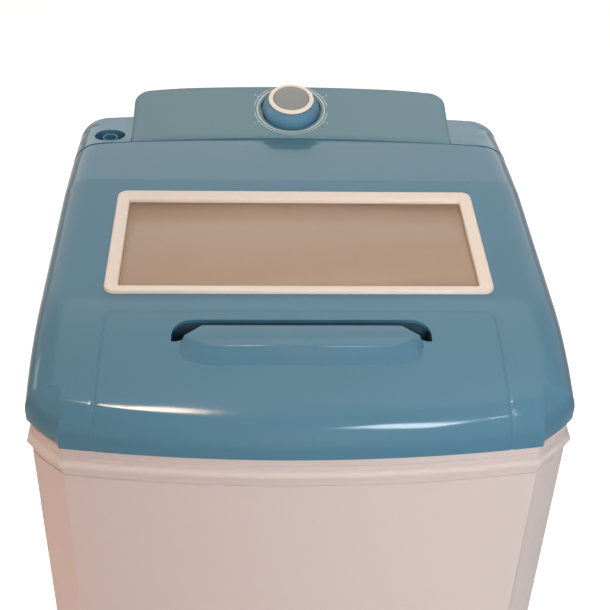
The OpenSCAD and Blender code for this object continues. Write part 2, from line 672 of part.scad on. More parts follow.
module window_frame() color(white) difference() {
  union() {
    rr(win_w, win_d, win_r, seat_z, frame_top);
    rr(win_w - 2 * ledge, win_d - 2 * ledge, win_r - 3, frame_low, seat_z + e);
  }
  // band falls inwards
  hull() {
    rr(win_w - 2, win_d - 2, win_r - 1, frame_top, frame_top + 1);
    rr(win_w - 2 * win_band, win_d - 2 * win_band, 3, frame_top - 3, frame_top + 1);
  }
  rr(win_w - 2 * win_band, win_d - 2 * win_band, 2, frame_low - 1, frame_top);
  rr(win_w - 2 * win_band + 5, win_d - 2 * win_band + 5, 3, frame_low - 1, frame_low + pane_t + 0.6);
}
module window_pane() color([0.45, 0.42, 0.40, 0.6])
  rr(win_w - 2 * win_band + 4.8, win_d - 2 * win_band + 4.8, 2.9, frame_low + 0.6, frame_low + pane_t + 0.6);

module hinge_pins() color(steel) for (s = [-1, 1])
  translate([s * hinge_x - 10.5, hinge_y, hinge_z]) rotate([0, 90, 0]) cylinder(r = hinge_d / 2, h = 21);

bump_x = 130;
bump_y = yf + 24;
bump_top = rim_z + 14;
module lid_bumpers() color(black) for (s = [-1, 1]) translate([s * bump_x, bump_y, collar_z + collar_t])
  rotate_extrude() polygon([[0, 0], [7, 0], [7, 2], [5, bump_top - collar_z - collar_t - 1],
    [4, bump_top - collar_z - collar_t], [0, bump_top - collar_z - collar_t]]);

switch_top = rim_z + 24;
switch_x = -hinge_x + 15;
switch_y = seam_y - 61;
module lid_switch() color(dark) translate([switch_x, switch_y, collar_z + collar_t]) {
  difference() {
    cube([24, 10, switch_top - collar_z - collar_t - 3]);
    for (z = [8, 20]) translate([12, -1, z]) rotate([-90, 0, 0]) cylinder(r = 1.5, h = 40);
  }
  translate([9.5, 3, switch_top - collar_z - collar_t - 3 - e]) cube([5, 4, 3]);
}

// =============== collar, tub and drum ===============
collar_in = shell_in + wall + 0.8 + fit_gap;
screw_r = tub_r + 4.5;
screw_turns = [22.5 : 45 : 359];
mouth_r = mouth_d / 2;
module top_collar() color(white) difference() {
  union() {
    plan(collar_in, collar_z, collar_z + collar_t);
    intersection() {
      ring(collar_in + 1, 2.5, collar_z, rim_z + 3);
      translate([-xs, yf, 0]) cube([body_w, seam_y - 46 - yf, 800]);
    }
    // rolled mouth over the drum
    at_drum() rotate_extrude($fn = 128) polygon(concat([[mouth_r, collar_z - 15],
      [mouth_r + 3, collar_z - 15], [mouth_r + 3, collar_z + 1], [mouth_r + 6, collar_z + 1]],
      [for (a = [0 : 20 : 180]) [mouth_r + 3 + 3 * cos(a), collar_z + 4 + 3 * sin(a)]]));
    // bosses for the deck
    for (p = deck_pts) translate([p[0], p[1], collar_z - 14]) cylinder(r = 4.5, h = 14 + e);
    for (p = deck_pts) translate([p[0], p[1], collar_z]) tube(4.5, 2.7, 0, deck_z - collar_z);
  }
  at_drum() {
    translate([0, 0, collar_z - 20]) cylinder(r = mouth_r, h = 60, $fn = 128);
    for (a = screw_turns) rotate([0, 0, a]) translate([screw_r, 0, collar_z - 1])
      cylinder(r = 2.1, h = 8);
  }
  translate([in_x, in_y, collar_z - 1]) cylinder(r = noz_r + hose_t + 1.5, h = 6);
  for (p = deck_pts) translate([p[0], p[1], collar_z - 20]) cylinder(r = 1.7, h = 30);
}
module collar_screws() color(zinc) at_drum() for (a = screw_turns) rotate([0, 0, a])
  translate([screw_r, 0, collar_z + collar_t]) difference() {
    union() {
      cylinder(r = 3.9, h = 2);
      translate([0, 0, -12]) cylinder(r = 1.7, h = 12 + e);
    }
    translate([-3, -0.4, 1.2]) cube([6, 0.8, 2]);
    translate([-0.4, -3, 1.2]) cube([0.8, 6, 2]);
  }

sump_x = 96;
sump_y = 132;                         // from the drum's axis
drain_r = 11;
module outer_tub() color(greige) at_drum() difference() {
  union() {
    rotate_extrude($fn = 128) polygon([[34, tub_low - 6], [36.5, tub_low - 6], [36.5, tub_low + 4],
      [tub_r - 12, tub_low], [tub_r + tub_t, tub_low + 14], [tub_r + tub_t, tub_top - 8],
      [tub_r + 9, tub_top - 4], [tub_r + 9, tub_top], [tub_r, tub_top], [tub_r, tub_low + 15],
      [tub_r - 13, tub_low + 3], [34, tub_low + 7]]);
    for (a = screw_turns) rotate([0, 0, a]) translate([screw_r, 0, tub_top - 18])
      cylinder(r = 4.5, h = 18);
    for (a = [0 : 45 : 315]) rotate([0, 0, a]) translate([36, -1.25, tub_low - 4])
      cube([tub_r - 50, 2.5, 6]);
    translate([sump_x, sump_y, tub_low - 22]) cylinder(r = drain_r, h = 23);
    rotate([0, 0, in_a]) translate([tub_r + 1, 0, in_low]) rotate([0, 90, 0])
      cylinder(r = noz_r, h = 24);
  }
  for (a = screw_turns) rotate([0, 0, a]) translate([screw_r, 0, tub_top - 14])
    cylinder(r = 1.7, h = 20);
  translate([sump_x, sump_y, tub_low - 23]) cylinder(r = drain_r - 2, h = 30);
  rotate([0, 0, in_a]) translate([tub_r - 5, 0, in_low]) rotate([0, 90, 0])
    cylinder(r = noz_r - 1.7, h = 40);
}

hole_rows = 8;
module drum() color(steel) at_drum() difference() {
  rotate_extrude($fn = 128) polygon([[58, drum_low], [drum_r - 8, drum_low], [drum_r, drum_low + 8],
    [drum_r, drum_top - 5], [drum_r - 2, drum_top - 1], [drum_r - 5, drum_top], [drum_r - 9, drum_top - 2],
    [drum_r - 9, drum_top - 3.6], [drum_r - 5, drum_top - 1.6], [drum_r - drum_t - 1.8, drum_top - 2.6],
    [drum_r - drum_t, drum_top - 6], [drum_r - drum_t, drum_low + 8.6], [drum_r - 8.6, drum_low + drum_t],
    [60, drum_low + drum_t], [48, drum_low + drum_t + 5], [30, drum_low + drum_t + 5], [30, drum_low + 5],
    [47, drum_low + 5]]);
  for (k = [0 : hole_rows - 1], a = [0 : 22.5 : 359]) rotate([0, 0, a + (k % 2) * 11.25])
    translate([drum_r - 12, 0, drum_low + 30 + k * (drum_top - drum_low - 60) / (hole_rows - 1)])
      rotate([0, 90, 0]) cylinder(r = hole_d / 2, h = 20, $fn = 16);
  for (a = [30 : 60 : 330]) rotate([0, 0, a]) translate([39, 0, drum_low])
    cylinder(r = 2.6, h = 12, $fn = 20);
}
module drum_hub() color(zinc) at_drum() difference() {
  rotate_extrude() polygon([[0, drum_low - 22], [14, drum_low - 22], [16, drum_low - 6], [46, drum_low - 1],
    [46, drum_low + 5], [29.5, drum_low + 5], [29.5, drum_low + drum_t + 5], [0, drum_low + drum_t + 5]]);
  translate([0, 0, drum_low - 30]) cylinder(r = shaft_r, h = 60);
}
module drum_nut() color(dark) at_drum() {
  z = drum_low + drum_t + 5;
  difference() {
    rotate_extrude() polygon([[0, z], [44, z], [43, z + 3], [24, z + 7], [18, z + 16], [13, z + 21],
      [0, z + 23]]);
    translate([0, 0, z - 1]) cylinder(r = shaft_r, h = 13);
  }
}
module drive_shaft() color(steel) at_drum()
  translate([0, 0, brake_z + 10]) cylinder(r = shaft_r, h = drum_low + drum_t + 16 - brake_z - 10);
module bellows_seal() color(black) at_drum() rotate_extrude() polygon([[19, tub_low - 14], [22, tub_low - 14],
  [22, tub_low - 6], [25, tub_low - 3], [28, tub_low - 13], [31, tub_low - 14], [34, tub_low - 6],
  [34, tub_low + 6], [31, tub_low + 6], [31, tub_low - 4], [29.5, tub_low - 8], [27, tub_low + 1],
  [24, tub_low + 2], [19, tub_low - 3]]);
module seal_bush() color(zinc) at_drum() rotate_extrude() polygon([[shaft_r + run, tub_low - 18],
  [22, tub_low - 18], [22, tub_low - 14], [19, tub_low - 14], [19, tub_low - 1],
  [shaft_r + run, tub_low - 1]]);

// =============== motor and suspension ===============
module brake_drum() color(zinc) at_drum() difference() {
  rotate_extrude() polygon([[0, brake_z], [brake_r, brake_z], [brake_r, brake_z + brake_h],
    [brake_r - 4, brake_z + brake_h], [brake_r - 4, brake_z + 5], [18, brake_z + 5], [16, brake_z + 32],
    [0, brake_z + 32]]);
  translate([0, 0, brake_z - 1]) cylinder(r = shaft_r, h = 60);
  for (a = [0 : 60 : 300]) rotate([0, 0, a]) translate([33, 0, brake_z - 1]) cylinder(r = 6, h = 8);
}
stack_lo = 62;
stack_hi = 98;
bore_r = 34;
bolt_turns = [45 : 90 : 315];
bolt_out = motor_r + 3.4;
bolt_r = 2.5;
nut_r = 4.6;
nut_h = 3.5;

module motor_stator() color(grey) at_drum() difference() {
  union() {
    translate([0, 0, stack_lo]) cylinder(r = motor_r, h = stack_hi - stack_lo);
    for (a = bolt_turns) rotate([0, 0, a]) translate([bolt_out, 0, stack_lo])
      cylinder(r = 8, h = stack_hi - stack_lo);
  }
  translate([0, 0, stack_lo - 1]) cylinder(r = bore_r, h = 60);
  for (a = bolt_turns) rotate([0, 0, a]) translate([bolt_out, 0, stack_lo - 1])
    cylinder(r = bolt_r + 0.1, h = 60);
}
module bell(z0, dir) {
  translate([0, 0, z0]) mirror([0, 0, dir > 0 ? 0 : 1]) difference() {
    rotate_extrude() polygon([[shaft_r + run, 14], [17, 14], [20, 19], [motor_r - 12, 19], [motor_r - 4, 10],
      [motor_r - 4, 0], [motor_r, 0], [motor_r, 12], [motor_r - 10, plate_z - stack_hi],
      [shaft_r + run, plate_z - stack_hi]]);
    for (a = [0 : 30 : 330]) rotate([0, 0, a]) translate([motor_r - 22, -4, 15]) cube([8, 8, 20]);
    for (a = bolt_turns) rotate([0, 0, a]) translate([bolt_out, 0, -1])
      cylinder(r = nut_r + 0.3, h = 30);
  }
  for (a = bolt_turns) rotate([0, 0, a]) translate([motor_r - 2.4, -8, dir > 0 ? z0 : z0 - 5])
    difference() {
      cube([bolt_out - motor_r + 8, 16, 5]);
      translate([bolt_out - motor_r + 2.4, 8, -1]) cylinder(r = bolt_r + 0.1, h = 8);
    }
}
module motor_top() color(zinc) at_drum() bell(stack_hi, 1);
module motor_bottom() color(zinc) at_drum() bell(stack_lo, -1);
module motor_rotor() color(steel) at_drum() {
  translate([0, 0, stack_lo - 26 - 4]) cylinder(r = shaft_r, h = brake_z + 10 - stack_lo + 30);
  translate([0, 0, stack_lo - 3]) cylinder(r = bore_r - 0.5, h = stack_hi - stack_lo + 6);
}
module motor_bolts() color(steel) at_drum() for (a = bolt_turns) rotate([0, 0, a])
  translate([bolt_out, 0, 0]) {
  translate([0, 0, stack_lo - 5 - nut_h]) cylinder(r = nut_r, h = nut_h, $fn = 6);
  translate([0, 0, stack_lo - 6]) cylinder(r = bolt_r, h = stack_hi - stack_lo + 11 + e);
  translate([0, 0, stack_hi + 5]) cylinder(r = nut_r, h = nut_h, $fn = 6);
}

module motor_plate() color(steel) at_drum() difference() {
  union() {
    translate([0, 0, plate_z]) cylinder(r = 72, h = plate_t);
    for (p = legs) {
      a = atan2(p[1], p[0]);
      rotate([0, 0, a]) {
        translate([50, -19, plate_z]) cube([leg_r - 50, 38, plate_t]);
        for (s = [-1, 1]) translate([60, s * 19 - 1.5, plate_z]) cube([leg_r - 60, 3, 9]);
      }
      translate([p[0], p[1], plate_z]) cylinder(r = 22, h = plate_t);
    }
  }
  translate([0, 0, plate_z - 1]) cylinder(r = shaft_r + 6, h = 10);
  translate([pin_x, pin_y, plate_z - 1]) cylinder(r = 4, h = 10);
  for (p = legs) translate([p[0], p[1], plate_z - 1]) cylinder(r = 4, h = 10);
}

coil_lo = tower_z + cup_t + 4;
coil_hi = plate_z - cup_t - 5;
cup_in = 17.6;                        // inner radius of a cup's rim
plug_r = spring_d / 2 - wire_d - 0.6; // plug that centres the coil
module spring_cups() color(black) at_drum() for (p = legs) translate([p[0], p[1], 0]) {
  rotate_extrude() polygon([[0, tower_z], [19, tower_z], [19, coil_lo + 3], [cup_in, coil_lo + 3],
    [cup_in, coil_lo], [plug_r, coil_lo], [plug_r - 1, coil_lo + 10], [0, coil_lo + 10]]);
  rotate_extrude() polygon([[0, plate_z + plate_t + 3], [3.9, plate_z + plate_t + 3], [3.9, plate_z],
    [19, plate_z], [19, coil_hi - 3], [cup_in, coil_hi - 3], [cup_in, coil_hi], [plug_r, coil_hi],
    [plug_r - 1, coil_hi - 10], [0, coil_hi - 10]]);
}

// one unbroken wire: a dead turn at each end, free turns between
function wind(t, n, z0, z1, w) = let (dead = 1, d = w + 0.45, free = z1 - z0 - 2 * d)
  t < dead ? z0 + d * t : t > n + dead ? z0 + d + free + d * (t - n - dead) : z0 + d + free * (t - dead) / n;
function coil_pts(r, n, z0, z1, w) = [for (k = [0 : 8 * (n + 2)]) let (t = k / 8)
  [r * cos(360 * t), r * sin(360 * t), wind(t, n, z0, z1, w)]];
module wire(p, r, sides = 6) {
  n = len(p);
  function dir(k) = let (d = p[min(k + 1, n - 1)] - p[max(k - 1, 0)]) d / norm(d);
  function sec(k) = let (t = dir(k), u0 = [p[k][0], p[k][1], 0], u1 = u0 - (u0 * t) * t,
      u = u1 / norm(u1), v = cross(t, u))
    [for (j = [0 : sides - 1]) p[k] + r * cos(360 * j / sides) * u + r * sin(360 * j / sides) * v];
  polyhedron(points = [for (k = [0 : n - 1]) each sec(k)], faces = concat(
    [[for (j = [0 : sides - 1]) j]], [[for (j = [sides - 1 : -1 : 0]) (n - 1) * sides + j]],
    [for (k = [0 : n - 2], j = [0 : sides - 1]) let (i = (j + 1) % sides, a = k * sides, b = a + sides)
      each [[a + j, b + j, b + i], [a + j, b + i, a + i]]]));
}
coil_r = (spring_d - wire_d) / 2;
coil_a = coil_pts(coil_r, spring_turns, coil_lo + 0.3 + wire_d / 2, coil_hi - 0.3 - wire_d / 2, wire_d);
function self_gap(p, w) = min([for (i = [0 : len(p) - 5], j = [i + 4 : len(p) - 1]) norm(p[i] - p[j])]) - w;
echo(least_gap_of_spring_to_itself = self_gap(coil_a, wire_d));
module leg_spring(k) color(steel) at_drum() translate([legs[k][0], legs[k][1], 0]) wire(coil_a, wire_d / 2);
module spring_back() leg_spring(0);
module spring_front_left() leg_spring(1);
module spring_front_right() leg_spring(2);

// =============== brake ===============
pin_x = brake_r + 14;
pin_y = -50;
arm_z = brake_z + 5;
pad_r = brake_r + 2.6;
arm_x = pad_r + 6.4;                  // inner face of the arm
module brake_pin() color(steel) at_drum() translate([pin_x, pin_y, 0]) {
  translate([0, 0, plate_z - 0.8]) cylinder(r = 4, h = arm_z + 8 - plate_z);
  translate([0, 0, arm_z + 4.4]) cylinder(r = 6.5, h = 3);
  translate([0, 0, plate_z - 2.8]) cylinder(r = 6.5, h = 2.8);
}
module brake_arm() color(zinc) at_drum() difference() {
  union() {
    translate([arm_x, pin_y, arm_z]) cube([10, 106, 4]);
    translate([arm_x, -24, arm_z - 4]) cube([3, 30, 14]);
    translate([pin_x, pin_y, arm_z]) cylinder(r = 9, h = 4);
    translate([arm_x + 5, pin_y + 106, arm_z]) cylinder(r = 5, h = 4);
  }
  translate([pin_x, pin_y, arm_z - 1]) cylinder(r = 4 + run, h = 8);
  translate([arm_x + 5, 50, arm_z - 1]) cylinder(r = 1.6, h = 8);
}
module brake_pad() color(rust) at_drum() intersection() {
  difference() {
    translate([0, 0, arm_z - 3]) cylinder(r = pad_r + 20, h = 12);
    translate([0, 0, arm_z - 4]) cylinder(r = pad_r, h = 20, $fn = 128);
  }
  translate([20, -21, 0]) cube([arm_x - 20, 23, 300]);
}
tors_lo = plate_z + plate_t + 0.9;
coil_b = coil_pts(6, 1, tors_lo, arm_z - 1, 1.2);
echo(least_gap_of_brake_spring_to_itself = self_gap(coil_b, 1.2));
module brake_spring() color(steel) at_drum() translate([pin_x, pin_y, 0]) wire(coil_b, 0.6);

// the cable runs from the arm's end to the back corner, then up to the lid's hinge
cab_a = 42;
cab_from = 50;                        // its place along the arm
cab_len = (xs - 37.5 - arm_x - 5) / cos(cab_a);
cab_r = 2.5;
cab_bend = 30;
cab_z = arm_z + 6;
stop_at = 52;
cab_top = collar_z - 26;
module at_cable() {
  at_drum() translate([arm_x + 5, cab_from, 0]) rotate([0, 0, cab_a]) children();
}
module brake_wire() color(steel) at_cable() {
  translate([0, 0, cab_z]) rotate([0, 90, 0]) cylinder(r = 0.8, h = stop_at + 4);
  translate([0, 0, arm_z + 4.3]) cylinder(r = 1.4, h = cab_z - arm_z - 3.5);
}
module brake_cable() color(black) at_cable() {
  translate([stop_at + 4, 0, cab_z]) rotate([0, 90, 0])
    cylinder(r = cab_r, h = cab_len - cab_bend - stop_at - 4);
  translate([cab_len - cab_bend, 0, cab_z + cab_bend]) rotate([90, 0, 0]) rotate([0, 0, -90])
    rotate_extrude(angle = 90) translate([cab_bend, 0]) circle(r = cab_r);
  translate([cab_len, 0, cab_z + cab_bend]) cylinder(r = cab_r, h = cab_top - cab_z - cab_bend);
}
module cable_stop() color(steel) at_cable() difference() {
  union() {
    translate([-20, -8, plate_z + plate_t]) cube([stop_at + 24, 16, 3]);
    translate([stop_at, -8, plate_z + plate_t]) cube([4, 16, 24]);
  }
  translate([stop_at - 1, 0, cab_z]) rotate([0, 90, 0]) cylinder(r = 1.3, h = 8);
}
module brake_actuator() color(dark) at_cable() difference() {
  translate([cab_len - 10, -13, cab_top]) cube([18, 26, collar_z - cab_top]);
  translate([cab_len - 6, -9, cab_top + 8]) cube([20, 18, 10]);
}

// =============== small electrics and water ===============
cap_x = -(xs - 103);
cap_y = yb - 66;
module capacitor() color(grey) translate([cap_x, cap_y, shell_z + 6]) {
  cylinder(r = 20, h = 76);
  for (s = [-1, 1]) translate([s * 7 - 3, -0.5, 76]) cube([6, 1, 9]);
}
module capacitor_clip() color(steel) translate([cap_x, cap_y, 0]) {
  difference() {
    translate([0, 0, shell_z + 30]) cylinder(r = 21.6, h = 16);
    translate([0, 0, shell_z + 29]) cylinder(r = 20, h = 18);
  }
  translate([-6, 20.4, shell_z]) cube([12, 1.6, 46]);
  translate([-6, 20.4, shell_z]) cube([12, 12, 1.6]);
}

cup_r = 24;                           // recess in the back for the end of a drain hose
cup_d = 22;
spigot_r = 10.5;                      // takes the hose that leads outside
drain_z = shell_z + 50;
drain_bend = 34;
dr_y = sump_y + cy;
out_y = back_y(sump_x, shell_in);
module drain_hose() color(dark) {
  translate([sump_x, dr_y, 0]) tube(drain_r + hose_t, hose_t, drain_z + drain_bend, tub_low - 4);
  translate([sump_x, dr_y + drain_bend, drain_z + drain_bend]) rotate([90, 0, 90]) rotate([0, 0, 180])
    bend(drain_r + hose_t, hose_t, drain_bend);
  translate([sump_x, 0, drain_z]) rotate([-90, 0, 0])
    tube(drain_r + hose_t, hose_t, dr_y + drain_bend, out_y - cup_d - 2.5 - 4);
}
module drain_spigot() color(dark) translate([sump_x, out_y - cup_d, drain_z]) rotate([-90, 0, 0])
difference() {
  union() {
    translate([0, 0, -24]) cylinder(r = drain_r, h = 24);
    translate([0, 0, -e]) cylinder(r = spigot_r, h = cup_d + 2 + e);
    translate([0, 0, -5.5]) cylinder(r = drain_r + 5, h = 3);
  }
  translate([0, 0, -25]) cylinder(r = drain_r - 2, h = 80);
}
gland_x = -(xs - 65);
gland_z = shell_z + 34;
gl_y = back_y(gland_x, shell_in);
module cord_gland() color(black) translate([gland_x, 0, gland_z]) rotate([-90, 0, 0]) difference() {
  union() {
    translate([0, 0, gl_y - wall - 6]) cylinder(r = 6.5, h = wall + 8);
    translate([0, 0, gl_y + 1.2]) cylinder(r = 10, h = 4);
    translate([0, 0, gl_y - wall - 6]) cylinder(r = 9, h = 4);
  }
  translate([0, 0, gl_y - 30]) cylinder(r = 3.6, h = 60);
}

// =============== what is drawn ===============
body_shell();
top_rim();
base_tray();
feet();
base_screws();
rear_panel();
panel_screws();
rear_deck();
deck_screws();
console();
lid();
window_frame();
window_pane();
hinge_pins();
knob_skirt();
knob_ring();
knob_cap();
timer_shaft();
timer_case();
inlet_nozzle();
inlet_hose();
top_collar();
collar_screws();
outer_tub();
drum();
drum_hub();
drum_nut();
drive_shaft();
bellows_seal();
seal_bush();
brake_drum();
motor_stator();
motor_top();
motor_bottom();
motor_rotor();
motor_bolts();
motor_plate();
spring_front_left();
spring_front_right();
spring_back();
spring_cups();
brake_arm();
brake_pad();
brake_pin();
brake_spring();
brake_wire();
brake_cable();
cable_stop();
brake_actuator();
capacitor();
capacitor_clip();
drain_hose();
drain_spigot();
cord_gland();
lid_bumpers();
lid_switch();
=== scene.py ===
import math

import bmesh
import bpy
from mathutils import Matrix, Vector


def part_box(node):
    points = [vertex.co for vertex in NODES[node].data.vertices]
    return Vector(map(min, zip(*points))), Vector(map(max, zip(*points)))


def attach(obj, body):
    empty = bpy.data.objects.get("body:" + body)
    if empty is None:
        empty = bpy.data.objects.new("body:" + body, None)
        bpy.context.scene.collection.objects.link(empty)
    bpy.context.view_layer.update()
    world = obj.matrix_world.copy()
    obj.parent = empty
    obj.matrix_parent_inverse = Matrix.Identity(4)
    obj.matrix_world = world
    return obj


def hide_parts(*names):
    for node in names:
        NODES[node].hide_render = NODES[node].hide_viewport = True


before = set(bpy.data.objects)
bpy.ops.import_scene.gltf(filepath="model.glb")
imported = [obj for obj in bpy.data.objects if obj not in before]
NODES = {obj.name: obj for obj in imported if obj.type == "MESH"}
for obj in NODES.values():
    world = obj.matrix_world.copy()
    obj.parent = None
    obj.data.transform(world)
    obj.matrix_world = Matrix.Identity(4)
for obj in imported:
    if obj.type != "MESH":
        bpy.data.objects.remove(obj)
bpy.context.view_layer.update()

# %% [markdown]
# # A laundry spin dryer
# A white moulded cabinet carries a blue lid that rolls over its front edge. Behind the lid stand
# a deck with the water inlet and a console with a timer knob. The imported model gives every
# place and size, so this file only makes the surfaces that show, and the finish of each part.
# We work in millimetres, as a maker does, and turn them into metres when a mesh is made.

MM = 0.001


def box_mm(node):
    """Lowest and highest corner of a CAD node, in millimetres."""
    low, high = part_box(node)
    return [v / MM for v in low], [v / MM for v in high]


lid_low, lid_high = box_mm("lid")
shell_low = box_mm("body_shell")[0]
half_w = lid_high[0]            # half width over the lid
front_y = lid_low[1]            # foremost point of the bowed front
back_y = box_mm("rear_deck")[1][1]
hump_rise = 1                   # the handle stands this far above the lid
lip = 4                         # the middle of the apron hangs this much lower
lid_z = lid_high[2] - hump_rise
rim_z = lid_low[2] + lip
print("lid", half_w * 2, "wide, flat at", lid_z, "edge at", rim_z)

# %% [markdown]
# ## The outline
# Lid, deck and cabinet share one outline: a bowed front, two cut-off front corners behind a
# proud middle, straight sides, round back corners and a bowed back. It could be drawn by hand
# as a curve, but a few arcs worked out from the bow keep every part flush with the next.

# %% Outline of the machine seen from above
bow = 14
front_half = 187
corner_r = 30
corner_in = 2                   # step from the proud front to the corners
wall = 3
bow_r = (front_half ** 2 + bow ** 2) / (2 * bow)
front_c = front_y + bow_r       # centre of the front bow
back_c = back_y - bow_r
front_a = math.asin(front_half / bow_r)
cut_c = front_half - (front_c - math.sqrt(bow_r ** 2 - front_half ** 2))
arc_x = half_w - corner_r       # centre of a back corner
arc_y = back_c + math.sqrt((bow_r - corner_r) ** 2 - arc_x ** 2)
arc_a = math.asin(arc_x / (bow_r - corner_r))
side_y = half_w - cut_c         # where the straight side starts


def spread(low, high, count):
    """Evenly spaced numbers from low to high."""
    return [low + (high - low) * k / count for k in range(count + 1)]


def step_x(inset):
    """Where the proud front ends, for an outline drawn in by inset."""
    d = cut_c - inset * math.sqrt(2) + front_c
    r = bow_r - inset
    return (d - math.sqrt(2 * r * r - d * d)) / 2


def bow_front(x, inset=0.0):
    return front_c - math.sqrt((bow_r - inset) ** 2 - x * x)


def bow_back(x, inset=0.0):
    return back_c + math.sqrt((bow_r - inset) ** 2 - x * x)


CORNER_STEPS = 9


def corner_row(inset):
    """Points and outward directions round the right-hand front corner."""
    x0, y0 = step_x(inset) + 1, bow_front(step_x(inset), inset) + corner_in
    x1, y1 = half_w - inset, side_y + inset * (math.sqrt(2) - 1)
    rows = []
    for k in range(CORNER_STEPS + 1):
        t = k / CORNER_STEPS
        turn = (math.pi / 2 - front_a) * t
        nx, ny = math.sin(front_a + turn), -math.cos(front_a + turn)
        out = 1.2 * math.sin(math.pi * t)
        rows.append((x0 + (x1 - x0) * t + out * 0.7, y0 + (y1 - y0) * t - out * 0.7, nx, ny))
    return rows


def back_corner_row(inset):
    """Points round the right-hand back corner, from the side to the back."""
    r = corner_r - inset
    return [(arc_x + r * math.cos(a), arc_y + r * math.sin(a), math.cos(a), math.sin(a))
            for a in spread(0, math.pi / 2 - arc_a, 12)]


BOW_STEPS = 48


def outline(inset):
    """The whole closed outline, counter-clockwise from the front left step."""
    edge = step_x(inset)
    front = [(x, bow_front(x, inset)) for x in spread(-edge, edge, BOW_STEPS)]
    right = [p[:2] for p in corner_row(inset)]
    right += [(half_w - inset, y) for y in spread(side_y + 12, arc_y - 6, 8)]
    right += [p[:2] for p in back_corner_row(inset)]
    end = right[-1][0]
    back = [(x, bow_back(x, inset)) for x in spread(end, -end, BOW_STEPS)[1:-1]]
    return front + right + back + [(-x, y) for x, y in reversed(right)]


print("outline of", len(outline(0)), "points, corner step at", round(step_x(0), 1))

# %% [markdown]
# ## Making meshes
# Each part starts as points and faces. Faces that meet at a steep angle keep a crisp edge and
# all others shade smoothly. Holes are cut with a Boolean and edges are softened with a bevel,
# and both are applied at once, so that what rides on a body is a plain mesh.

# %% Mesh helpers
def make_piece(name, points, faces, sharp=32):
    """A mesh object from points in millimetres."""
    mesh = bpy.data.meshes.new(name)
    mesh.from_pydata([(x * MM, y * MM, z * MM) for x, y, z in points], [], faces)
    bm = bmesh.new()
    bm.from_mesh(mesh)
    bmesh.ops.remove_doubles(bm, verts=bm.verts, dist=0.01 * MM)
    bmesh.ops.recalc_face_normals(bm, faces=bm.faces)
    bm.to_mesh(mesh)
    bm.free()
    piece = bpy.data.objects.new(name, mesh)
    bpy.context.scene.collection.objects.link(piece)
    soften(piece, sharp)
    return piece


def soften(piece, sharp=32):
    """Smooth shading that keeps edges over the given angle crisp."""
    mesh = piece.data
    mesh.shade_smooth()
    mesh.set_sharp_from_angle(angle=math.radians(sharp))


def apply_modifiers(piece):
    graph = bpy.context.evaluated_depsgraph_get()
    mesh = bpy.data.meshes.new_from_object(piece.evaluated_get(graph))
    piece.modifiers.clear()
    old = piece.data
    piece.data = mesh
    bpy.data.meshes.remove(old)


def cut(piece, cutters, sharp=32):
    """Takes the cutters away from the piece, then deletes them."""
    for cutter in cutters:
        boolean = piece.modifiers.new("cut", "BOOLEAN")
        boolean.object = cutter
        boolean.operation = "DIFFERENCE"
        boolean.solver = "EXACT"
        apply_modifiers(piece)
        mesh = cutter.data
        bpy.data.objects.remove(cutter)
        bpy.data.meshes.remove(mesh)
    soften(piece, sharp)
    return piece


def round_edges(piece, width, segments=3, angle=35):
    """Rounds every crisp edge by the given width in millimetres."""
    bevel = piece.modifiers.new("round", "BEVEL")
    bevel.width = width * MM
    bevel.segments = segments
    bevel.limit_method = "ANGLE"
    bevel.angle_limit = math.radians(angle)
    bevel.harden_normals = False
    apply_modifiers(piece)
    soften(piece, 40)
    return piece


def stack(name, rings, close_ends=True, sharp=32):
    """A solid through rings of equally many points."""
    n = len(rings[0])
    points = [p for ring in rings for p in ring]
    faces = [(k * n + i, k * n + (i + 1) % n, (k + 1) * n + (i + 1) % n, (k + 1) * n + i)
             for k in range(len(rings) - 1) for i in range(n)]
    if close_ends:
        faces += [tuple(reversed(range(n))), tuple((len(rings) - 1) * n + i for i in range(n))]
    return make_piece(name, points, faces, sharp)


def prism(name, flat, z0, z1):
    """An upright block over a flat outline."""
    return stack(name, [[(x, y, z) for x, y in flat] for z in (z0, z1)])


def lathe(name, profile, place=Matrix(), count=96, sharp=32):
    """Turns a profile of (radius, height) points about the z axis of the given place."""
    points = []
    for r, z in profile:
        for k in range(count):
            a = 2 * math.pi * k / count
            points.append(place @ Vector((r * math.cos(a), r * math.sin(a), z)))
    faces = [(k * count + i, k * count + (i + 1) % count, (k + 1) * count + (i + 1) % count,
              (k + 1) * count + i) for k in range(len(profile) - 1) for i in range(count)]
    if profile[0] == profile[-1]:
        return make_piece(name, points, faces, sharp)
    faces += [tuple(range(count)), tuple((len(profile) - 1) * count + i for i in range(count))]
    return make_piece(name, points, faces, sharp)


def rounded_box(w, d, r, count=8):
    """A rounded rectangle about the middle, counter-clockwise."""
    flat = []
    for c in range(4):
        cx = (w / 2 - r) * (1 if c in (0, 3) else -1)
        cy = (d / 2 - r) * (1 if c < 2 else -1)
        flat += [(cx + r * math.cos(a), cy + r * math.sin(a))
                 for a in spread(c * math.pi / 2, (c + 1) * math.pi / 2, count)]
    return flat


def block(name, low, high, edge=0.6):
    """A small box with rounded edges, from its two corners."""
    w, d = high[0] - low[0], high[1] - low[1]
    cx, cy = (high[0] + low[0]) / 2, (high[1] + low[1]) / 2
    rings = []
    for z, inset in ((low[2], edge), (low[2] + edge, 0), (high[2] - edge, 0), (high[2], edge)):
        rings.append([(cx + x, cy + y, z) for x, y in rounded_box(w - 2 * inset, d - 2 * inset, edge, 3)])
    return stack(name, rings, sharp=50)


def join(name, pieces):
    """One piece from several, keeping their shading."""
    bm = bmesh.new()
    for piece in pieces:
        bm.from_mesh(piece.data)
        mesh = piece.data
        bpy.data.objects.remove(piece)
        bpy.data.meshes.remove(mesh)
    mesh = bpy.data.meshes.new(name)
    bm.to_mesh(mesh)
    bm.free()
    whole = bpy.data.objects.new(name, mesh)
    bpy.context.scene.collection.objects.link(whole)
    return whole


print("mesh helpers are ready")

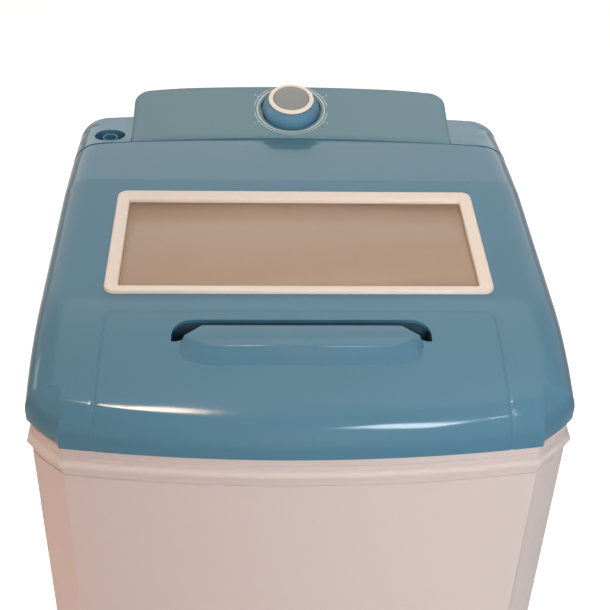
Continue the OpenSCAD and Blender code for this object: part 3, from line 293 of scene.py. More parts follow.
# %% [markdown]
# ## Finishes
# Moulded plastic is never one flat colour: it has flow marks, a fine orange peel that breaks up
# reflections, dust on its upper faces and paler rubbed edges. These effects are shared, so each is
# a node group with named inputs that a material places with its own values. The groups only
# give out colours, masks and heights; the shader itself stays in each material.

# %% Shared effects
def new_group(name, inputs, outputs):
    group = bpy.data.node_groups.new(name, "ShaderNodeTree")
    for label, kind, value in inputs:
        socket = group.interface.new_socket(label, in_out="INPUT", socket_type=kind)
        socket.default_value = value
    for label, kind in outputs:
        group.interface.new_socket(label, in_out="OUTPUT", socket_type=kind)
    return group, group.nodes.new("NodeGroupInput"), group.nodes.new("NodeGroupOutput")


def math_node(tree, operation, first, second=None, clamp=False):
    node = tree.nodes.new("ShaderNodeMath")
    node.operation = operation
    node.use_clamp = clamp
    for socket, value in zip(node.inputs, (first, second)):
        if isinstance(value, (int, float)):
            socket.default_value = value
        elif value is not None:
            tree.links.new(value, socket)
    return node.outputs[0]


def noise_node(tree, vector, scale, detail=3.0, roughness=0.5):
    node = tree.nodes.new("ShaderNodeTexNoise")
    tree.links.new(vector, node.inputs["Vector"])
    if isinstance(scale, (int, float)):
        node.inputs["Scale"].default_value = scale
    else:
        tree.links.new(scale, node.inputs["Scale"])
    node.inputs["Detail"].default_value = detail
    node.inputs["Roughness"].default_value = roughness
    return node.outputs["Fac"]


def mix_colour(tree, factor, first, second):
    node = tree.nodes.new("ShaderNodeMix")
    node.data_type = "RGBA"
    for socket, value in ((node.inputs["Factor"], factor), (node.inputs[6], first), (node.inputs[7], second)):
        if isinstance(value, (int, float, tuple)):
            socket.default_value = value
        else:
            tree.links.new(value, socket)
    return node.outputs[2]


def make_tone_group():
    """Slow colour drift, fine mottling and dust on what faces up."""
    tree, given, result = new_group("plastic_tone", [
        ("Position", "NodeSocketVector", (0, 0, 0)), ("Colour", "NodeSocketColor", (0.5, 0.5, 0.5, 1)),
        ("Drift", "NodeSocketFloat", 0.1), ("Dust", "NodeSocketFloat", 0.1),
        ("Dust Colour", "NodeSocketColor", (0.55, 0.5, 0.45, 1))],
        [("Colour", "NodeSocketColor"), ("Dust Mask", "NodeSocketFloat")])
    place = given.outputs["Position"]
    slow = noise_node(tree, place, 6.0, 2.0)
    fine = noise_node(tree, place, 90.0, 2.0, 0.5)
    mixed = math_node(tree, "ADD", math_node(tree, "MULTIPLY", slow, 0.7),
                      math_node(tree, "MULTIPLY", fine, 0.3))
    swing = math_node(tree, "MULTIPLY", math_node(tree, "SUBTRACT", mixed, 0.5), given.outputs["Drift"])
    light = math_node(tree, "ADD", swing, 1.0)
    node = tree.nodes.new("ShaderNodeVectorMath")
    node.operation = "SCALE"
    tree.links.new(given.outputs["Colour"], node.inputs[0])
    tree.links.new(light, node.inputs["Scale"])
    geometry = tree.nodes.new("ShaderNodeNewGeometry")
    parts = tree.nodes.new("ShaderNodeSeparateXYZ")
    tree.links.new(geometry.outputs["Normal"], parts.inputs[0])
    up = math_node(tree, "MULTIPLY", math_node(tree, "MAXIMUM", parts.outputs["Z"], 0.0), slow)
    mask = math_node(tree, "MULTIPLY", up, given.outputs["Dust"], clamp=True)
    colour = mix_colour(tree, mask, node.outputs[0], given.outputs["Dust Colour"])
    tree.links.new(colour, result.inputs["Colour"])
    tree.links.new(mask, result.inputs["Dust Mask"])
    return tree


def make_grain_group():
    """Height of a moulded skin: fine peel on slow waves."""
    tree, given, result = new_group("moulded_grain", [
        ("Position", "NodeSocketVector", (0, 0, 0)), ("Grain Size", "NodeSocketFloat", 900.0),
        ("Grain", "NodeSocketFloat", 0.5), ("Waves", "NodeSocketFloat", 0.5)],
        [("Height", "NodeSocketFloat")])
    place = given.outputs["Position"]
    peel = math_node(tree, "MULTIPLY", noise_node(tree, place, given.outputs["Grain Size"], 2.0),
                     given.outputs["Grain"])
    waves = math_node(tree, "MULTIPLY", noise_node(tree, place, 14.0, 1.0), given.outputs["Waves"])
    tree.links.new(math_node(tree, "ADD", peel, waves), result.inputs["Height"])
    return tree


def make_wear_group():
    """Mask of edges that hands and laundry have rubbed."""
    tree, given, result = new_group("edge_wear", [
        ("Position", "NodeSocketVector", (0, 0, 0)), ("Amount", "NodeSocketFloat", 0.3)],
        [("Mask", "NodeSocketFloat")])
    geometry = tree.nodes.new("ShaderNodeNewGeometry")
    ridge = tree.nodes.new("ShaderNodeMapRange")
    ridge.inputs["From Min"].default_value = 0.52
    ridge.inputs["From Max"].default_value = 0.62
    tree.links.new(geometry.outputs["Pointiness"], ridge.inputs["Value"])
    spots = noise_node(tree, given.outputs["Position"], 160.0, 4.0)
    rubbed = math_node(tree, "MULTIPLY", ridge.outputs["Result"], spots)
    mask = math_node(tree, "MULTIPLY", rubbed, given.outputs["Amount"], clamp=True)
    tree.links.new(mask, result.inputs["Mask"])
    return tree


TONE, GRAIN, WEAR = make_tone_group(), make_grain_group(), make_wear_group()
print("effect groups:", TONE.name, GRAIN.name, WEAR.name)

# %% [markdown]
# ## A recipe for a finish
# One function builds a material from a plain description: its colour as it looks, how dull it
# is, how coarse its grain is and how dusty it gets. Colours are written as they show on a
# screen and turned into the linear values that a renderer works with.

# %% Material recipe
def shade(red, green, blue):
    """A colour as seen on screen, 0 to 255, in linear light."""
    def linear(c):
        c = c / 255
        return c / 12.92 if c <= 0.04045 else ((c + 0.055) / 1.055) ** 2.4
    return (linear(red), linear(green), linear(blue), 1.0)


def place_group(tree, group, **values):
    node = tree.nodes.new("ShaderNodeGroup")
    node.node_tree = group
    for label, value in values.items():
        socket = node.inputs[label.replace("_", " ")]
        if isinstance(value, (int, float, tuple)):
            socket.default_value = value
        else:
            tree.links.new(value, socket)
    return node


def finish(name, colour, rough=0.4, metal=0.0, coat=0.0, grain=0.4, grain_size=900.0, waves=0.3,
           bump=0.15, drift=0.12, dust=0.08, wear=0.25, rough_swing=0.08, brush=None, shine=0.5):
    """A Principled material with drift, dust, grain and rubbed edges; brush stretches the grain."""
    material = bpy.data.materials.new(name)
    material.use_nodes = True
    tree = material.node_tree
    shader = tree.nodes["Principled BSDF"]
    coords = tree.nodes.new("ShaderNodeTexCoord")
    place = coords.outputs["Object"]
    tone = place_group(tree, TONE, Position=place, Colour=colour, Drift=drift, Dust=dust)
    rubbed = place_group(tree, WEAR, Position=place, Amount=wear)
    pale = tuple(min(1.0, c * 1.35 + 0.03) for c in colour[:3]) + (1.0,)
    worn = mix_colour(tree, rubbed.outputs["Mask"], tone.outputs["Colour"], pale)
    tree.links.new(worn, shader.inputs["Base Color"])
    smear = noise_node(tree, place, 22.0, 2.0)
    spread_out = math_node(tree, "MULTIPLY", math_node(tree, "SUBTRACT", smear, 0.5), rough_swing * 2)
    dull = math_node(tree, "ADD", math_node(tree, "ADD", spread_out, rough),
                     math_node(tree, "MULTIPLY", tone.outputs["Dust Mask"], 0.5), clamp=True)
    tree.links.new(dull, shader.inputs["Roughness"])
    if brush:
        stretch = tree.nodes.new("ShaderNodeVectorMath")
        stretch.operation = "MULTIPLY"
        stretch.inputs[1].default_value = brush
        tree.links.new(place, stretch.inputs[0])
        place = stretch.outputs[0]
    height = place_group(tree, GRAIN, Position=place, Grain_Size=grain_size, Grain=grain, Waves=waves)
    bumps = tree.nodes.new("ShaderNodeBump")
    bumps.inputs["Strength"].default_value = bump
    bumps.inputs["Distance"].default_value = 0.0004
    tree.links.new(height.outputs["Height"], bumps.inputs["Height"])
    tree.links.new(bumps.outputs["Normal"], shader.inputs["Normal"])
    shader.inputs["Metallic"].default_value = metal
    shader.inputs["Specular IOR Level"].default_value = shine
    shader.inputs["Coat Weight"].default_value = coat
    shader.inputs["Coat Roughness"].default_value = 0.06
    return material


blue_gloss = finish("blue_gloss_plastic", shade(74, 121, 145), rough=0.1, grain=0.12,
                    waves=0.5, bump=0.1, drift=0.05, dust=0.04, wear=0.5, rough_swing=0.03, shine=0.3)
knob_blue = finish("knob_blue_plastic", shade(80, 129, 156), rough=0.16, grain=0.2, bump=0.08, drift=0.05,
                   dust=0.03, wear=0.4, rough_swing=0.03, shine=0.4)
console_blue = finish("console_blue_plastic", shade(80, 120, 134), rough=0.2, grain=0.2,
                      waves=0.5, bump=0.1, drift=0.05, dust=0.03, wear=0.4, rough_swing=0.03)
cabinet_white = finish("cabinet_white_plastic", shade(208, 196, 193), rough=0.36, grain=0.3,
                       waves=0.5, bump=0.1, drift=0.04, dust=0.04, wear=0.15, rough_swing=0.03, shine=0.3)
# The lid's inside is the same plastic as its top: this darker blue is painted shade for the slot and tray,
# and only its duller, coarser surface is real.
painted_shade_blue = finish("painted_shade_blue_plastic", shade(42, 72, 86), rough=0.5, grain=0.8, waves=0.6,
                    bump=0.2, drift=0.1, dust=0.1, wear=0.2, shine=0.35)
frame_white = finish("frame_white_plastic", shade(222, 209, 198), rough=0.34, grain=0.2,
                     waves=0.4, bump=0.08, drift=0.04, dust=0.04, wear=0.1, rough_swing=0.03)
cap_grey = finish("cap_grey_plastic", shade(129, 133, 135), rough=0.4, grain=0.8, bump=0.15, drift=0.05)
ring_white = finish("ring_cream_plastic", shade(236, 226, 212), rough=0.36, grain=0.3, drift=0.05,
                    rough_swing=0.03)
dial_paint = finish("dial_paint", shade(182, 194, 194), rough=0.45, grain=0.6, drift=0.1)
print("main finishes are mixed")

# %% [markdown]
# ## The lid's skin
# The lid is one crowned sheet that rolls over on three sides. A Boolean of boxes could never
# give that roll, and a subdivided box would wander off the size. So its skin is laid out as
# rows and columns of points: straight columns run from the seam to the front, and at the edges
# each column carries on down its own roll. A shallow groove round the front field is pressed
# in by moving those points along the surface's own direction.

# %% Crown and rolls of the top
side_roll, front_roll, back_roll = 26, 35, 12
roll_start = math.radians(29)   # slope at which the front roll takes over
seam_gap, deck_d = 2.4, 79
seam_y = back_y - deck_d
seam_r = bow_r - deck_d
flat_front = front_y + 138
flat_back = seam_y - 90
kink_y = seam_y - 13
crest_r = 247


def crown_edge(y):
    """Height of the top along its length, with its two faint creases."""
    if y < flat_front:
        return lid_z - crest_r + math.sqrt(crest_r ** 2 - (flat_front - y) ** 2)
    if y < flat_back:
        return lid_z
    if y < kink_y:
        return lid_z - (y - flat_back) * 0.0867
    return lid_z - (kink_y - flat_back) * 0.0867 - (y - kink_y) * 0.165


def crown(y):
    """The same height with the creases eased a little."""
    return sum(w * crown_edge(y + d) for w, d in ((0.25, -0.8), (0.5, 0), (0.25, 0.8)))


def seam(x, behind=0.0):
    """The seam between lid and deck follows the bow of the back."""
    return back_c + math.sqrt((seam_r + behind) ** 2 - x * x)


groove_y = -127.5               # line across the lid behind the handle
groove_x = 157.2                # lines down to the front edge
groove_r = 9
groove_half = 1.5
groove_depth = 0.55


def groove(x, y):
    """How deep the field's groove is pressed in at a place on the lid."""
    dx = abs(x) - (groove_x + max(0.0, groove_y - y) * 0.03)
    dy = groove_y - y
    inner_x, inner_y = dx + groove_r, groove_r - dy
    if inner_x > 0 and inner_y > 0:
        gap = math.hypot(inner_x, inner_y) - groove_r
    else:
        gap = max(dx, -dy)
    return groove_depth * math.exp(-(gap / groove_half * 1.3) ** 2)


print("crown falls", round(lid_z - crown(front_y + 18), 1), "mm before the front roll")

# %% Rows and columns of the lid
def lid_columns():
    coarse = spread(0, 148, 37) + spread(149, 166, 20)[0:] + spread(168, 183, 4)
    return sorted({round(x, 3) for x in coarse} | {-round(x, 3) for x in coarse})


def lid_rows():
    rows = spread(side_y + 2, -140, 16) + spread(-139, -120, 24) + spread(-117, 60, 44)
    return rows + spread(63, 75, 8) + spread(79, seam_y - 18, 12) + spread(seam_y - 16, seam_y, 9)


ROLL_STEPS = 14


def rolled(x, y, nx, ny, r, start, foot, low, inset, press=0.0):
    """Points down a roll: from its start on the top to the lower edge of the lid."""
    top_y = y - ny * r * (1 - math.sin(start))
    top_z = crown(top_y) - inset
    flat = foot if foot is not None else top_z - r
    end = math.pi / 2
    if flat < low:
        end = math.acos(min(1.0, (low + 0.6 - flat) / (top_z - flat) * math.cos(start)))
    points = []
    for a in spread(start, end, ROLL_STEPS):
        off = r * (1 - math.sin(a)) + press * math.sin(a)
        z = flat + (top_z - flat) * math.cos(a) / math.cos(start) - press * math.cos(a)
        points.append((x - nx * off, y - ny * off, z))
    points.append((points[-1][0], points[-1][1], low))
    return points


def lid_surface(inset):
    """One skin of the lid as points and faces, drawn in by inset, with its open edge as a list."""
    points, faces = [], []

    def add(p):
        points.append(p)
        return len(points) - 1

    reach = front_roll - inset
    edge = step_x(inset)
    roll_foot = lid_z - 62
    warp_from = seam_y - 34
    columns, rows = lid_columns(), lid_rows()
    front_low, side_low = rim_z - lip, rim_z

    def top_point(x, y):
        ease = max(0.0, (y - warp_from) / (seam_y - warp_from))
        y = y + (seam(x) - seam_y) * ease
        return (x, y, crown(y) - inset - (groove(x, y) if inset == 0 else 0.0))

    # front columns with their rolls
    fronts = []
    for x_top in columns:
        x = x_top * edge / (edge - reach * (1 - math.sin(roll_start)) * math.sin(front_a))
        x = max(-edge, min(edge, x))
        if abs(x_top) > 182.9:
            x = math.copysign(edge, x_top)
        b = math.asin(x / (bow_r - inset))
        y = bow_front(x, inset)
        press = groove(x_top, -200) if inset == 0 else 0.0
        roll = rolled(x, y, math.sin(b), -math.cos(b), reach, roll_start, roll_foot, front_low, inset, press)
        fronts.append([add(p) for p in roll])
    # corner and side rolls of the right-hand side, then mirrored
    stations = []
    for k, (x, y, nx, ny) in enumerate(corner_row(inset)):
        t = k / CORNER_STEPS
        r = front_roll - corner_in - inset + (side_roll - front_roll + corner_in) * t
        foot = roll_foot * (1 - t) + (crown(y) - inset - r) * t
        stations.append(rolled(x, y, nx, ny, r, roll_start * (1 - t), foot, side_low, inset))
    for y in rows:
        x = half_w - inset
        ease = max(0.0, (y - warp_from) / (seam_y - warp_from))
        roll = []
        for px, py, pz in rolled(x, y, 1, 0, side_roll - inset, 0, None, side_low, inset):
            shift = (seam(min(px, half_w)) - seam_y) * ease
            fall = crown(y + shift) - crown(y)
            roll.append((px, py + shift, pz + fall * (pz - side_low) / (lid_z - side_low)))
        stations.append(roll)
    right = [[add(p) for p in roll] for roll in stations]
    left = [[add((-p[0], p[1], p[2])) for p in roll] for roll in stations]
    n_corner = len(stations) - len(rows)

    # the top: a grid of rows and columns, whose outer columns are the starts of the side rolls
    blend_rows = 5
    first = rows[0]
    grid = []
    for k in range(blend_rows):
        t = k / blend_rows
        line = []
        for c, x in enumerate(columns):
            if k == 0:
                line.append(fronts[c][0])
            else:
                y0 = points[fronts[c][0]][1]
                line.append(add(top_point(x, y0 + (first - y0) * t)))
        grid.append(line)
    for k, y in enumerate(rows):
        line = [left[n_corner + k][0]]
        line += [add(top_point(x, y)) for x in columns]
        line.append(right[n_corner + k][0])
        grid.append(line)
    for k in range(len(grid) - 1):
        low_line, high_line = grid[k], grid[k + 1]
        shift = 1 if len(high_line) > len(low_line) else 0
        for c in range(len(low_line) - 1):
            faces.append((low_line[c], low_line[c + 1], high_line[c + 1 + shift], high_line[c + shift]))
    # small fans where the front corners meet the grid
    last = [grid[k][-1] for k in range(blend_rows)] + [grid[blend_rows][-2], grid[blend_rows][-1]]
    faces.append(tuple(last + [right[k][0] for k in range(n_corner - 1, -1, -1)]))
    last = [grid[k][0] for k in range(blend_rows)] + [grid[blend_rows][1], grid[blend_rows][0]]
    faces.append(tuple(reversed(last + [left[k][0] for k in range(n_corner - 1, -1, -1)])))
    # strips of the rolls
    belt = list(reversed(left)) + fronts + right
    for a, b in zip(belt, belt[1:]):
        faces += [(a[k], a[k + 1], b[k + 1], b[k]) for k in range(len(a) - 1)]
    rim = [roll[-1] for roll in belt]
    ends = belt[-1][::-1][1:] + [grid[-1][c] for c in range(len(grid[-1]) - 2, 0, -1)] + belt[0][:-1]
    return points, faces, rim + ends


def lid_shell():
    """Outer and inner skin, joined along the whole open edge."""
    outer_points, outer_faces, outer_edge = lid_surface(0)
    inner_points, inner_faces, inner_edge = lid_surface(wall)
    n = len(outer_points)
    faces = outer_faces + [tuple(i + n for i in reversed(f)) for f in inner_faces]
    m = len(outer_edge)
    for k in range(m):
        j = (k + 1) % m
        faces.append((outer_edge[k], outer_edge[j], inner_edge[j] + n, inner_edge[k] + n))
    return make_piece("lid_skin", outer_points + inner_points, faces, 38)


lid_skin = lid_shell()
print("lid skin:", len(lid_skin.data.vertices), "points")

# %% [markdown]
# ## Window opening and finger slot
# The window's frame drops into a rounded opening, and fingers reach through a slot that runs
# behind the handle and down its ends. Both are cut straight through the finished skin, because
# their edges are crisp on the real moulding.

# %% Openings in the lid
win_w, win_d, win_r = 321, 151.5, 9
win_y = seam_y - 113 - win_d / 2
hump_back = front_y + 90.5
hump_front = hump_back - 25.5
hump_foot = hump_front - 6
hump_half = 79
pocket_half = hump_half + 24
slot_back = hump_back + 11
slot_round = 16


def slot_outline():
    x, y, r = pocket_half - slot_round, slot_back - slot_round, slot_round
    side = [(x + r * math.sin(a), y + r * math.cos(a)) for a in spread(0, math.pi / 2, 10)]
    side += [(pocket_half, hump_back - 11), (hump_half + 20, hump_back - 11),
             (hump_half + 9, hump_back - 7.5), (hump_half - 2, hump_back - 2.5)]
    return side + [(-x, y) for x, y in reversed(side)]


window_hole = prism("window_hole", [(x, y + win_y) for x, y in rounded_box(win_w + 0.3, win_d + 0.3, win_r)],
                    lid_z - 30, lid_z + 20)
slot_hole = prism("slot_hole", slot_outline(), lid_z - 30, lid_z + 20)
cut(lid_skin, [window_hole, slot_hole], 38)
print("lid skin after cutting:", len(lid_skin.data.polygons), "faces")

# %% [markdown]
# ## Handle
# The handle is a hump with a flat top, a sloping front and flaring ends. It is a separate
# closed form set into the skin, with its own softly rounded edges, so the small bright lines
# along its ridges come from real curvature.

# %% Handle hump and finger pocket
def hump_piece():
    low = crown(hump_foot) - 2.5
    top = lid_z + hump_rise
    lower = [(hump_half, hump_back), (hump_half + 20, hump_back - 17.5), (hump_half + 18, hump_foot + 3),
             (hump_half - 2, hump_foot - 2)]
    upper = [(hump_half, hump_back), (hump_half + 14, hump_back - 13), (hump_half + 5, hump_front + 6),
             (hump_half - 8, hump_front)]

    def both(side):
        return side + [(-x, y) for x, y in reversed(side)]

    def slide(t):
        return [(a + (c - a) * t, b + (d - b) * t) for (a, b), (c, d) in zip(both(lower), both(upper))]

    rings = [[(x, y, low + (top - low) * t) for x, y in slide(t)] for t in (0, 1)]
    return stack("hump", rings)


hump = hump_piece()
hollow = block("hollow", (-hump_half + 3, hump_front + 2, lid_z - 34),
               (hump_half - 3, hump_back - 0.5 + 12, lid_z - 3), 0.2)
round_edges(hump, 1.3, 4, 20)
print("hump:", len(hump.data.polygons), "faces")

# %% [markdown]
# ## Inside of the lid
# Turned up, the lid shows what carries it: a pad under the window, the tray behind the finger
# slot, two rests for the rubber buffers, the switch's tongue and the four hinge lugs. They are
# small boxes and discs with rounded edges, joined to one piece.

# %% Lid fittings
hinge_low, hinge_high = box_mm("hinge_pins")
hinge_y = (hinge_low[1] + hinge_high[1]) / 2
hinge_z = (hinge_low[2] + hinge_high[2]) / 2
hinge_x = half_w - 35
lug_w, lug_r, post_w, lug_gap = 4.5, 5.2, 6, 1
tray_z = lid_z - 35


def tray_end(low, high, y0, y1):
    """An end wall whose upper edge follows the underside of the lid."""
    return stack("tray_end", [[(low, y, tray_z - 2), (high, y, tray_z - 2), (high, y, crown(y) - 2.6),
                               (low, y, crown(y) - 2.6)] for y in spread(y0, y1, 10)])


def tray_walls():
    """Floor and four walls of the finger tray."""
    x, y0, y1 = pocket_half, hump_front + 1.6, slot_back + 0.2
    under = crown(y0 - 2.4) - 2.6
    walls = [block("tray_floor", (-x - 2.5, y0 - 2.4, tray_z - 2.5), (x + 2.5, y1 + 2.4, tray_z)),
             block("tray_front", (-x - 2.5, y0 - 2.4, tray_z - 2), (x + 2.5, y0, under)),
             block("tray_back", (-x - 2.5, y1, tray_z - 2), (x + 2.5, y1 + 2.4, lid_z - 2.6))]
    for s in (-1, 1):
        low, high = sorted((s * x, s * (x + 2.5)))
        walls.append(tray_end(low, high, y0 - 2, y1 + 2))
    return walls


def hinge_lugs():
    lugs = []
    for s in (-1, 1):
        for t in (-1, 1):
            middle = s * hinge_x + t * (post_w / 2 + lug_gap + lug_w / 2)
            turn = (Matrix.Translation((middle - lug_w / 2, hinge_y, hinge_z))
                    @ Matrix.Rotation(math.pi / 2, 4, "Y"))
            lugs.append(lathe("lug_disc", [(2.45, 0), (lug_r - 0.4, 0), (lug_r, 0.4), (lug_r, lug_w - 0.4),
                                           (lug_r - 0.4, lug_w), (2.45, lug_w), (2.45, 0)], turn, 40))
            lugs.append(block("lug_web", (middle - lug_w / 2, hinge_y - lug_r, hinge_z + 2.6),
                              (middle + lug_w / 2, hinge_y + lug_r, crown(hinge_y) - 2.2), 0.5))
    return lugs


def small_rests():
    rest_high = box_mm("lid_bumpers")[1]
    tongue = box_mm("lid_switch")
    rests = []
    for s in (-1, 1):
        x, y = s * 130, front_y + 24
        rests.append(block("rest", (x - 5, y - 5, rest_high[2] + 0.3), (x + 5, y + 5, rim_z + 20)))
    x, y = tongue[0][0] + 9, tongue[0][1] + 3
    rests.append(block("tongue", (x, y, tongue[1][2] + 0.4), (x + 6, y + 8, crown(y) - 2)))
    return rests


def window_pad():
    outer = [(x, y + win_y) for x, y in rounded_box(win_w + 12, win_d + 12, win_r + 4)]
    inner = [(x, y + win_y) for x, y in rounded_box(win_w - 8.7, win_d - 8.7, win_r - 3)]
    lines = ((outer, 2.9), (outer, 8), (inner, 8), (inner, 4.1), (outer, 4.1))
    rings = [[(x, y, lid_z - down) for x, y in flat] for flat, down in lines]
    return stack("window_pad", rings, close_ends=False)


lid_fittings = join("lid_fittings", tray_walls() + hinge_lugs() + small_rests() + [window_pad()])
hump_shell = cut(hump, [hollow], 40)
hump_shell.name = "handle_hump"
print("lid fittings:", len(lid_fittings.data.vertices), "points")

# %% [markdown]
# ## Window frame and pane
# The frame is a band with a flat outer part and a bevel that falls in towards the pane. It is
# built as rings of rounded rectangles, one ring for each line of its section, so that every
# edge gets its own small radius.

# %% Window frame and pane
frame_top = lid_z + 3
frame_low = lid_z - 7
ledge, win_band = 4.5, 11


def frame_ring(inset, r, z):
    return [(x, y + win_y, z) for x, y in rounded_box(win_w - 2 * inset, win_d - 2 * inset, max(r, 0.4), 10)]


def frame_section():
    """Lines of the band's section as (inset, corner radius, height)."""
    lip_in, lip_z = win_band, frame_top - 2.7
    lines = [(0, 9, lid_z - 4), (0, 9, frame_top - 1.3), (0.4, 8.6, frame_top - 0.4), (1.2, 7.8, frame_top),
             (2.2, 7, frame_top - 0.05), (lip_in - 1.6, 3, lip_z + 0.5), (lip_in - 0.5, 2.4, lip_z + 0.1),
             (lip_in, 2, lip_z - 0.4), (lip_in, 2, frame_low + 3.7), (lip_in - 2.5, 3, frame_low + 3.7),
             (lip_in - 2.5, 3, frame_low), (ledge, 6, frame_low), (ledge, 6, lid_z - 4)]
    return [frame_ring(*line) for line in lines]


window_band = stack("window_band", frame_section() + [frame_section()[0]], close_ends=False, sharp=50)


def pane_piece():
    edge = win_band - 2.4
    lines = ((edge + 0.3, 0.6), (edge, 0.9), (edge, 3.3), (edge + 0.3, 3.6))
    return stack("smoked_pane", [frame_ring(inset, 2.9, frame_low + up) for inset, up in lines], sharp=50)


smoked_pane = pane_piece()
print("frame band:", len(window_band.data.vertices), "points")

# %% [markdown]
# ## Deck
# The deck carries the same crown and roll on round the back corners. Its smooth skin lies on
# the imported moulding, whose floor, posts and inlet cup stay in view when the lid is up. Only
# the two wings show, so the skin leaves out the console's seat.

# %% Deck skin
seat_half = half_w - 57 + 0.3
seat_z = rim_z + 22
deck_low = rim_z - 4
skin_out = 0.15


def deck_rows():
    start = seam_y + seam_gap
    return spread(start, start + 9, 3) + spread(start + 12, arc_y - 1, 5)


def deck_stations():
    """Places round the right-hand wing and half of the back: (x, y, nx, ny, roll)."""
    places = [(half_w, y, 1.0, 0.0, side_roll) for y in deck_rows()]
    corner = back_corner_row(0)
    for k, (x, y, nx, ny) in enumerate(corner):
        t = k / (len(corner) - 1)
        places.append((x, y, nx, ny, side_roll + (back_roll - side_roll) * t))
    end = corner[-1][0]
    for x in spread(end, seat_half, 6)[1:]:
        b = math.asin(x / bow_r)
        places.append((x, bow_back(x), math.sin(b), math.cos(b), back_roll))
    return places


def deck_wing(side):
    """One wing: rolls round its edge and a top that ends at the console's seat."""
    points, faces = [], []

    def add(x, y, z):
        points.append((side * x, y, z))
        return len(points) - 1

    start = seam_y + seam_gap
    belt, tops = [], []
    for x, y, nx, ny, r in deck_stations():
        roll = rolled(x, y, nx, ny, r, 0, None, deck_low, 0)
        line = []
        for px, py, pz in roll:
            lead = seam(px, seam_gap) - start if ny == 0.0 and y < start + 9.5 else 0.0
            lead *= 1 - (y - start) / 9.5 if ny == 0.0 else 0.0
            line.append(add(px + nx * skin_out, py + lead + ny * skin_out, pz + skin_out))
        belt.append(line)
        tops.append(points[line[0]])
    for a, b in zip(belt, belt[1:]):
        faces += [(a[k], a[k + 1], b[k + 1], b[k]) for k in range(len(a) - 1)]
    across = 8
    grid = []
    for line, (tx, ty, _) in zip(belt, tops):
        row = [line[0]]
        for k in range(1, across + 1):
            x = abs(tx) + (seat_half - abs(tx)) * k / across
            y = ty
            if ty < start + 9.5:
                y = ty + (seam(x, seam_gap) - seam(abs(tx), seam_gap)) * (1 - (ty - start) / 9.5)
            row.append(add(x, y, crown(y) + skin_out))
        grid.append(row)
    for a, b in zip(grid, grid[1:]):
        faces += [(a[k], b[k], b[k + 1], a[k + 1]) for k in range(across)]
    return make_piece("deck_wing", points, faces, 40)


def back_wall():
    """Plumb strip under the console, between the wings."""
    xs = spread(-seat_half, seat_half, 40)
    points = [(x, bow_back(x) + skin_out, z) for z in (deck_low, seat_z) for x in xs]
    n = len(xs)
    return make_piece("deck_back", points, [(k, k + 1, n + k + 1, n + k) for k in range(n - 1)])


inlet_x = -(half_w - 35)
inlet_y = arc_y - 27
cup_r = 15


def cup_cutter():
    return prism("cup_cutter", [(inlet_x + cup_r * math.cos(a), inlet_y + cup_r * math.sin(a))
                                for a in spread(0, 2 * math.pi, 72)[:-1]], rim_z, lid_z + 20)


wing_left, wing_right = deck_wing(-1), deck_wing(1)
solid = wing_left.modifiers.new("thick", "SOLIDIFY")
solid.thickness = 0.1 * MM
solid.offset = 1
apply_modifiers(wing_left)
cut(wing_left, [cup_cutter()], 40)
deck_skin = join("deck_skin", [wing_left, wing_right, back_wall()])
print("deck skin:", len(deck_skin.data.vertices), "points")

# %% [markdown]
# ## Console
# The console is a wedge that follows the seam in front and the bow behind, with round back
# corners. Its top could be a plane cut by a bevel, but a bevel fails where arcs meet. Here the
# height falls off within a few millimetres of the outline by a quarter circle, which rounds
# every edge and corner alike.

# %% Console
console_half = half_w - 57
console_r1 = seam_r + seam_gap
console_r2 = bow_r - 1
console_tilt = math.radians(12.5)
console_z1 = crown(seam_y) + 2
console_low = rim_z + 1
console_corner = 18
console_round = 3.2
corner_y = bow_back(console_half - console_corner, 1) - console_corner - 1.6


def console_rear(x):
    """Back edge of the console, with its round corners."""
    ax = abs(x)
    if ax <= console_half - console_corner:
        return bow_back(ax, 1) - 1.6 * max(0.0, (ax - 100) / (console_half - console_corner - 100)) ** 2
    reach = ax - (console_half - console_corner)
    return corner_y + math.sqrt(max(0.0, console_corner ** 2 - reach ** 2))


def console_inside(x, y):
    """Distance from the outline, positive inside."""
    ax = abs(x)
    radius = math.hypot(x, y - back_c)
    gap = min(radius - console_r1, console_rear(0 if ax < 1 else min(ax, console_half - console_corner)) - y)
    if ax > console_half - console_corner and y > corner_y:
        gap = min(gap, console_corner - math.hypot(ax - console_half + console_corner, y - corner_y))
    return min(gap, console_half - ax)


def console_plane(x, y):
    return console_z1 + (math.hypot(x, y - back_c) - console_r1) * math.tan(console_tilt)


def console_top(x, y):
    gap = max(0.0, min(console_round, console_inside(x, y)))
    fall = console_round - math.sqrt(max(0.0, console_round ** 2 - (console_round - gap) ** 2))
    return console_plane(x, y) - fall


def eased(count, edge, step):
    """Shares from 0 to 1 that crowd together near both ends."""
    rim = [edge * (1 - math.cos(a)) for a in spread(0, math.pi / 2, step)]
    return rim + spread(edge, 1 - edge, count)[1:-1] + [1 - v for v in reversed(rim)]


def console_piece():
    across = [(2 * u - 1) * console_half for u in eased(70, console_round / (2 * console_half), 5)]
    along = eased(24, console_round / (console_r2 - console_r1), 5)
    points, faces = [], []
    for x in across:
        y0 = back_c + math.sqrt(console_r1 ** 2 - x * x)
        y1 = console_rear(x)
        column = [(x, y0, console_low)]
        column += [(x, y0 + (y1 - y0) * v, 0) for v in along]
        column.append((x, y1, console_low))
        points += [(px, py, console_top(px, py) if pz == 0 else pz) for px, py, pz in column]
    n = len(along) + 2
    for c in range(len(across) - 1):
        faces += [(c * n + k, (c + 1) * n + k, (c + 1) * n + k + 1, c * n + k + 1) for k in range(n - 1)]
    for c in (0, len(across) - 1):
        faces.append(tuple(c * n + k for k in range(n)))
    return make_piece("console_shell", points, faces, 50)


console_shell = console_piece()
print("console:", len(console_shell.data.vertices), "points")

# %% [markdown]
# ## Knob, dial and recess
# The knob stands square to the sloping panel, so everything round it is drawn about one tilted
# axis. Skirt, ring and cap are turned profiles with small radii. The dial's thin rings, ticks
# and numbers are printed, which shows as paint a tenth of a millimetre thick.

